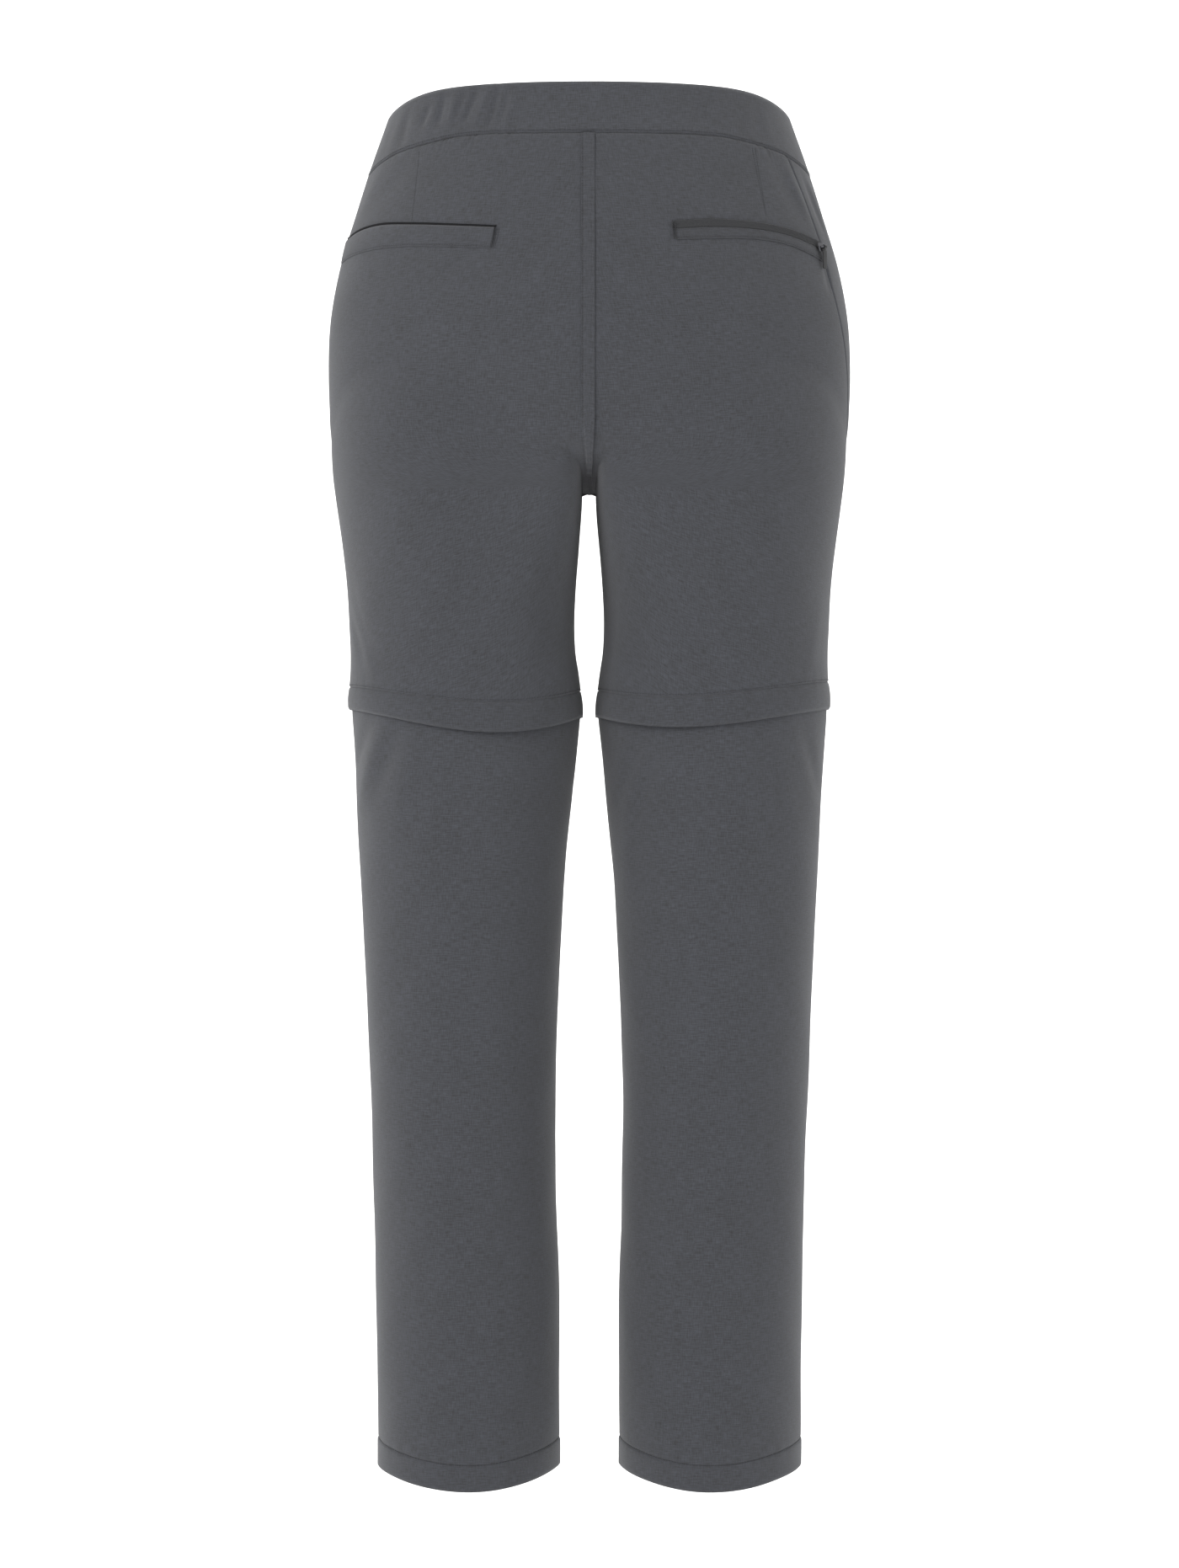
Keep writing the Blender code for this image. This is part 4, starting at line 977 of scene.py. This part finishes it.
def path_on(point, side, degrees, heights, lift, fold):
    """A line on the cloth, closely spaced, and the normals along it."""
    angle = np.radians(np.asarray(degrees, float))
    z = np.asarray(heights, float)
    share = np.linspace(0.0, 1.0, len(angle))
    fine = np.linspace(0.0, 1.0, 900)
    angle = np.interp(fine, share, angle)
    z = np.interp(fine, share, z)
    points = to_side(lifted(point, angle, z, lift + fold(side, angle, z)), side)
    return points, to_side(outward(point, angle, z), side)


def seat_path(side, degrees, heights, lift):
    """A line on the seat's cloth."""
    return path_on(thigh_point, side, degrees, heights, lift, thigh_lift)


def stitches(name, runs, material, word=""):
    """Lines of stitches, each lying along its line on the cloth."""
    pitch, length, radius = SEWING[name]
    sewing = bmesh.new()
    for points, normals in runs:
        steps = np.linalg.norm(np.diff(points, axis=0), axis=1)
        travelled = np.concatenate([[0.0], np.cumsum(steps)])
        count = max(int(travelled[-1] / pitch), 1)
        for number in range(count):
            middle = (number + 0.5) * travelled[-1] / count
            spot, ahead, behind, up = (
                np.array([np.interp(middle + off * pitch, travelled, row) for row in rows.T])
                for off, rows in ((0.0, points), (0.25, points), (-0.25, points), (0.0, normals)))
            along = Vector(ahead - behind).normalized()
            beside = Vector(up).cross(along).normalized()
            turn = Matrix((along, beside, along.cross(beside))).transposed().to_4x4()
            size = Matrix.Diagonal((length / 2.0, radius, radius, 1.0))
            bmesh.ops.create_icosphere(sewing, subdivisions=1, radius=1.0,
                                       matrix=Matrix.Translation(spot) @ turn @ size)
    piece = new_object(name + word, sewing, (material,))
    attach(piece, GARMENT)


def strip_points(side, table, ends, columns, profile, slant=0.0):
    """Grid of a trim on the seat, from its profile's rows."""
    share = np.array([row[0] for row in profile])
    lift = np.array([row[1] for row in profile])
    toothed = np.array([row[2] if len(row) > 2 else 0.0 for row in profile])
    along = np.linspace(0.0, 1.0, columns + 1)[:, None]
    degrees = ends[0] + (ends[1] - ends[0]) * along + slant * share * (1.0 - along)
    upper = table.at("upper", degrees)
    z = upper + (table.at("lower", degrees) - upper) * share
    angle = np.radians(degrees)
    tooth = TOOTH_DEPTH * np.sin(angle * TRIM_RADIUS * 2.0 * math.pi / TOOTH_PITCH) * toothed
    lift = lift + tooth + thigh_lift(side, angle, z)
    return to_side(lifted(thigh_point, angle, z, lift), side)


def seat_seam_points(columns, rows):
    """Grid of the felled seam: flat where it is sewn on the left, a raised fold on the right."""
    heights = np.linspace(WAIST_TOP_BACK - BAND_HEIGHT - 0.0006, BACK_TURN_Z, rows)
    turns = np.radians(np.linspace(0.0, FELL_END_TURN + 14.0, rows // 5))[1:]
    floor_z = BACK_TURN_Z - (BACK_TURN_Z - CROTCH_Z) * np.sin(turns) ** (2.0 / FLOOR_POWER)
    heights = np.concatenate([heights, floor_z])
    narrow = fade(BACK_TURN_Z + 0.01, float(floor_z[-1]), heights)
    left = FELL_LEFT + (FELL_END - FELL_LEFT) * narrow
    right = FELL_RIGHT + (-FELL_END - FELL_RIGHT) * narrow
    strip = []
    for share in np.linspace(0.0, 1.0, columns + 1):
        x = left + (right - left) * share
        points, normal = centre_seam(True, heights, x)
        proud = 0.0003 + 0.0009 * fade(0.0, 0.25, share) - 0.0004 * fade(0.94, 1.0, share)
        dent = np.exp(-((share - 0.16) / 0.07) ** 2) + 0.7 * np.exp(-((share - 0.8) / 0.06) ** 2)
        between = math.sin(math.pi * share)
        drawn = np.sin(heights * 2.0 * math.pi / 0.0034 + 1.7 * np.sin(heights * 90.0))
        tight = 0.00007 + 0.0002 * fade(-0.2, -0.24, heights)
        lift = proud + 0.0008 * narrow - 0.00035 * dent + tight * drawn * between
        strip.append(points + normal * lift[:, None])
    return np.stack(strip)


def seat_seam_run(x):
    """A line of sewing down the felled seam, at a distance x from the centre."""
    heights = np.linspace(WAIST_TOP_BACK - BAND_HEIGHT - 0.0016, BACK_TURN_Z + 0.004, 700)
    points, normal = centre_seam(True, heights, x + 0.0 * heights)
    return points + normal * 0.001, normal


def fly_points(columns, rows):
    """Grid of the fly edge down the centre front."""
    top = float(waist_height(centre_angle(False, -0.02), 0.0)) - 0.0008
    down = np.linspace(0.0, 1.0, rows + 1)
    heights = top - PLACKET_LENGTH * down
    corner = np.clip((down - 0.78) / 0.22, 0.0, 1.0)
    far_edge = -PLACKET_LAP + (PLACKET_WIDTH + PLACKET_LAP - 0.004) * np.sqrt(1.0 - corner ** 2) + 0.004
    share = np.linspace(0.0, 1.0, columns + 1)[:, None]
    x = -PLACKET_LAP + (far_edge + PLACKET_LAP) * share
    depth = hip_depth(heights, False)
    half = HIPS.at("side", heights)
    y = AXIS.at("y", heights) - depth * (1.0 - (np.abs(x) / half) ** HIP_POWER) ** (1.0 / HIP_POWER)
    points = np.stack([x, y, heights + 0.0 * x], -1)
    normal = np.cross(np.gradient(points, axis=0), np.gradient(points, axis=1))
    normal /= np.linalg.norm(normal, axis=-1, keepdims=True)
    normal *= np.where(normal[..., 1:2] > 0.0, -1.0, 1.0)
    sewn_down = np.exp(-((1.0 - share) / 0.06) ** 2) + 0.8 * np.exp(-((0.8 - share) / 0.04) ** 2)
    lift = 0.0012 - 0.00045 * sewn_down + 0.00012 * np.sin(heights * 2.0 * math.pi / 0.0081) * share
    return to_side(points + normal * lift[..., None], -1.0), to_side(normal, -1.0)


cloth_colour = (0.019, 0.0208, 0.0272)
body_cloth = woven_cloth("grey_woven_nylon", cloth_colour)
band_cloth = woven_cloth("waistband_nylon", cloth_colour)
trim_cloth = woven_cloth("flap_nylon", scaled(cloth_colour, 0.97))
lip_cloth = woven_cloth("pocket_lip_nylon", scaled(cloth_colour, 0.86))
tape_cloth = zip_tape_cloth("zip_tape_weave", (0.02, 0.0206, 0.023))
thread = thread_finish("grey_thread", (0.026, 0.027, 0.03))
dark_thread = thread_finish("dark_thread", (0.009, 0.009, 0.011))
# Near-black cloth with no sheen: painted shade for the inside of the left pocket's opening
mouth_shade_cloth = woven_cloth("pocket_mouth_painted_shade", (0.005, 0.005, 0.006), 0.0, 0.2)
slider_metal = brushed_metal("slider_plating", (0.11, 0.11, 0.12), 0.34)
pull_plastic = moulded_plastic("pull_black", (0.008, 0.008, 0.009), 0.42)
button_plastic = moulded_plastic("button_grey", (0.04, 0.041, 0.045), 0.38)

points, level = band_points(back_band_stations(), True)
points = raised(points, band_lift(points, level[None, :]))
back_band = grid_piece("back_waistband", points, BAND_SHEET, band_cloth)
sewn(back_band, "waistband_back", ["waistband_front_left"])

run = []
out = []
for place in np.linspace(-1.0, 1.0, 1400):
    side = 1.0 if place > 0.0 else -1.0
    angle, z = band_place(True, abs(place) * 0.995, 0.045)
    run.append(to_side(lifted(thigh_point, angle, z, 0.0003), side))
    out.append(to_side(outward(thigh_point, angle, z), side))
stitches("band_sewing_back", [(np.array(run), np.array(out))], dark_thread)

# The left end of the front band steps in under the right end
under = -(BAND_WALL + 2.0 * GAP)
step_start = LAP + 0.075
step_end = LAP + 0.045
right = [(-1.0, share, 0.0, band_end_dip(share)) for share in np.linspace(BAND_END, -LAP, 150)]
left = [(1.0, share, 0.0, band_end_dip(share)) for share in np.linspace(BAND_END, step_start, 120)]
for share in np.linspace(LAP + 0.07, step_end, 6):
    left.append((1.0, share, 0.0, under * (1.0 - float(fade(step_end, step_start, share)))))
left += [(1.0, share, 0.0, under) for share in np.linspace(LAP + 0.04, -UNDERLAP, 16)]
for word, stations in (("right", right), ("left", left)):
    band = grid_piece("front_waistband_" + word, band_points(stations, False)[0], BAND_SHEET, band_cloth)
    sewn(band, "waistband_front_" + word, ["back_waistband"])

for side, word in ((1.0, "left"), (-1.0, "right")):
    for name, node, points, grain, over in (
        ("seat_cloth_", "back_panel_", shorts_points(side, True, 170, 9), 0.35, "back_waistband"),
        ("front_cloth_", "front_panel_", shorts_points(side, False, 130, 7), 0.35,
         "front_waistband_" + word),
        ("calf_cloth_", "lower_back_", lower_leg_points(side, True, 100, 230), 0.5,
         "knee_zip_tape_" + word),
        ("shin_cloth_", "lower_front_", lower_leg_points(side, False, 64, 150), 0.5,
         "knee_zip_tape_" + word),
    ):
        panel = grid_piece(name + word, points, PANEL_SHEET, body_cloth, grain=grain)
        sewn(panel, node + word, [over])

    # Knee flap, with its lower edge rolled in
    angle = np.linspace(-math.pi, math.pi, 241)[:, None]
    top = leg_line(KNEE_SEAM, side, angle) - GAP / 2.0
    bottom = leg_line(FLAP_EDGE, side, angle)
    down = np.concatenate([[0.0, 0.03, 0.07], np.linspace(0.12, 0.85, 9), [0.9, 0.94, 0.97, 0.99, 1.0]])
    z = top + (bottom - top) * down
    lift = pucker(down * 0.02 + 0.0 * angle, angle * THIGH_RADIUS, 0.008, 0.0085, 0.00025)
    lift = lift + ripple(side, angle, z, 0.0002) * down + 0.0006 * np.sin(math.pi * down)
    lift = lift - 0.0006 * np.exp(-(down / 0.05) ** 2) - 0.001 * fade(0.86, 1.0, down) ** 2
    lift = lift * np.clip((math.pi - np.abs(angle)) / 0.05, 0.0, 1.0)
    points = to_side(lifted(thigh_point, angle, z, lift), side)
    flap = grid_piece("knee_flap_cloth_" + word, points, FLAP_SHEET, trim_cloth, ring=True)
    sewn(flap, "knee_flap_" + word, ["seat_cloth_" + word])

    # Knee zip under the flap
    angle = np.linspace(-math.pi, math.pi, 181)[:, None]
    rows = [knee_zip_point(angle, leg_line(KNEE_SEAM, side, angle) - drop, depth, share)
            for drop, depth, share in KNEE_ZIP_ROWS]
    points = to_side(np.concatenate(rows, axis=1), side)
    tape = grid_piece("knee_zip_tape_" + word, points, TAPE_SHEET, tape_cloth, ring=True)
    sewn(tape, "knee_zip_" + word, ["seat_cloth_" + word])

    ring = np.linspace(-179.0, 179.0, 721)
    seam = leg_line(KNEE_SEAM, side, np.radians(ring)) + 0.0016
    stitches("knee_seam_sewing", [seat_path(side, ring, seam, 0.0001)], dark_thread, "_" + word)
    hem = leg_line(HEM_EDGE, side, np.radians(ring)) + HEM_DEPTH
    run = path_on(lower_point, side, ring, hem, -0.0004, shin_lift)
    stitches("hem_sewing", [run], dark_thread, "_" + word)

# Open pocket on the wearer's left
points = strip_points(1.0, WELT, (82.6, 10.0), 110, WELT_PROFILE, 1.6)
welt = grid_piece("pocket_welt_cloth", points, TRIM_SHEET, body_cloth)
sewn(welt, "pocket_welt_left", ["seat_cloth_left"])
# A near-black strip just above the welt: painted shadow in the pocket's mouth
points = strip_points(1.0, WELT, (83.0, 10.5), 110, MOUTH_PROFILE)
mouth = grid_piece("pocket_mouth_shade_strip", points, MOUTH_SHADE_SHEET, mouth_shade_cloth)
sewn(mouth, None, ["seat_cloth_left"])
bar = [seat_path(1.0, (82.9 + shift, 84.3 + shift), (-0.09, -0.1054), 0.0012) for shift in (0.1, 0.9)]
stitches("welt_end_bar", bar, dark_thread)
degrees = np.linspace(83.0, 10.0, 300)
edge = seat_path(1.0, degrees, WELT.at("lower", degrees) + 0.0014, 0.0009)
stitches("welt_edge_sewing", [edge], thread)

# Zip pocket on the wearer's right
points = strip_points(-1.0, POCKET_ZIP, (85.7, 25.2), 420, ZIP_PROFILE, 1.4)
pocket_tape = grid_piece("pocket_zip_tape_cloth", points, TRIM_SHEET, tape_cloth, lower=lip_cloth,
                         lower_row=LIP_ROW)
sewn(pocket_tape, "pocket_zip_tape", ["seat_cloth_right"])
degrees = np.linspace(86.0, 25.0, 300)
edges = [seat_path(-1.0, degrees, POCKET_ZIP.at("upper", degrees) + 0.0008, 0.0005),
         seat_path(-1.0, degrees, POCKET_ZIP.at("lower", degrees) + 0.0016, 0.001)]
stitches("pocket_zip_sewing", edges, dark_thread)
bar = [seat_path(-1.0, (85.2 + shift, 86.8 + shift), (-0.086, -0.0988), 0.0016) for shift in (0.0, 0.9)]
stitches("pocket_zip_end_bar", bar, dark_thread)

seat_seam = grid_piece("seat_seam_cloth", seat_seam_points(28, 560), TRIM_SHEET, body_cloth)
sewn(seat_seam, "centre_back_seam",
     ["seat_cloth_left", "seat_cloth_right"])
stitches("seat_seam_sewing", [seat_seam_run(0.005), seat_seam_run(-0.0034)], dark_thread)
darts = [seat_path(side, degrees, heights, 0.0001) for side, degrees, heights in (
    (1.0, (41.6, 49.3), (-0.0262, -0.0806)),
    (-1.0, (44.6, 48.7), (-0.024, -0.0773)),
    (-1.0, (43.3, 47.8), (-0.0246, -0.07)),
)]
stitches("dart_sewing", darts, thread)

points, normals = fly_points(24, 120)
fly = grid_piece("fly_cloth", points, TRIM_SHEET, body_cloth)
sewn(fly, "fly_placket", ["front_cloth_right"])
stitches("fly_sewing", [(points[k] + normals[k] * 0.0002, normals[k]) for k in (19, 22)], dark_thread)

for node, finish in (
    ("pocket_zip_slider", slider_metal),
    ("pocket_zip_pull", pull_plastic),
    ("waist_button", button_plastic),
    ("knee_zip_slider_left", slider_metal),
    ("knee_zip_slider_right", slider_metal),
):
    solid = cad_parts[node]
    solid.data.materials.clear()
    solid.data.materials.append(finish)


# Studio: floor height, radius of its sweep, and the camera's distance and half field at that distance
FLOOR_Z = -1.16
SWEEP_RADIUS = 2.4
CAMERA_REACH = 2.925
CAMERA_HALF_FIELD = 0.60515


def studio():
    """Pale floor and backdrop, soft light from the picture's left, and the camera behind the wearer."""
    sweep = bmesh.new()
    bmesh.ops.create_grid(sweep, x_segments=1, y_segments=40, size=1.0)
    bend = 0.35
    for vert in sweep.verts:
        share = (vert.co.y + 1.0) / 2.0
        vert.co.x *= 8.0
        vert.co.y = -4.0 + 9.0 * share
        vert.co.z = FLOOR_Z
        if share < bend:
            turn = (bend - share) / bend * math.pi / 2.0
            vert.co.y = -1.5 - SWEEP_RADIUS * math.sin(turn)
            vert.co.z = FLOOR_Z + SWEEP_RADIUS * (1.0 - math.cos(turn))
    pale = Finish("studio_paper", (0.92, 0.92, 0.92), 0.9)
    floor = new_object("studio_floor", sweep, (pale.material,))
    floor.data.shade_flat()

    world = bpy.context.scene.world or bpy.data.worlds.new("studio")
    bpy.context.scene.world = world
    world.use_nodes = True
    background = world.node_tree.nodes["Background"]
    background.inputs[0].default_value = (1.0, 1.0, 1.0, 1.0)
    background.inputs[1].default_value = 0.8

    for name, place, target, size, power in (
        ("key_left", (2.6, 2.4, 0.9), (0.0, 0.0, -0.4), 1.8, 78.0),
        ("fill_right", (-2.8, 2.2, 0.2), (0.0, 0.0, -0.5), 2.4, 32.0),
        ("top_back", (0.0, -1.6, 2.4), (0.0, 0.0, -0.3), 2.0, 40.0),
        ("paper_light", (0.0, -1.5, 1.9), (0.0, -3.8, -0.4), 2.4, 70.0),
    ):
        lamp = bpy.data.lights.new(name, "AREA")
        lamp.size = size
        lamp.energy = power
        light = bpy.data.objects.new(name, lamp)
        light.location = place
        light.rotation_euler = (Vector(target) - Vector(place)).to_track_quat("-Z", "Y").to_euler()
        bpy.context.scene.collection.objects.link(light)

    lens = bpy.data.cameras.new("camera")
    lens.sensor_fit = "VERTICAL"
    lens.angle = 2.0 * math.atan(CAMERA_HALF_FIELD / CAMERA_REACH)
    lens.clip_start = 0.01
    camera = bpy.data.objects.new("camera", lens)
    camera.location = (-0.0003, CAMERA_REACH, -0.5)
    camera.rotation_euler = (math.pi / 2.0, 0.0, math.pi)
    bpy.context.scene.collection.objects.link(camera)
    bpy.context.scene.camera = camera
    bpy.context.scene.view_settings.view_transform = "Standard"


studio()
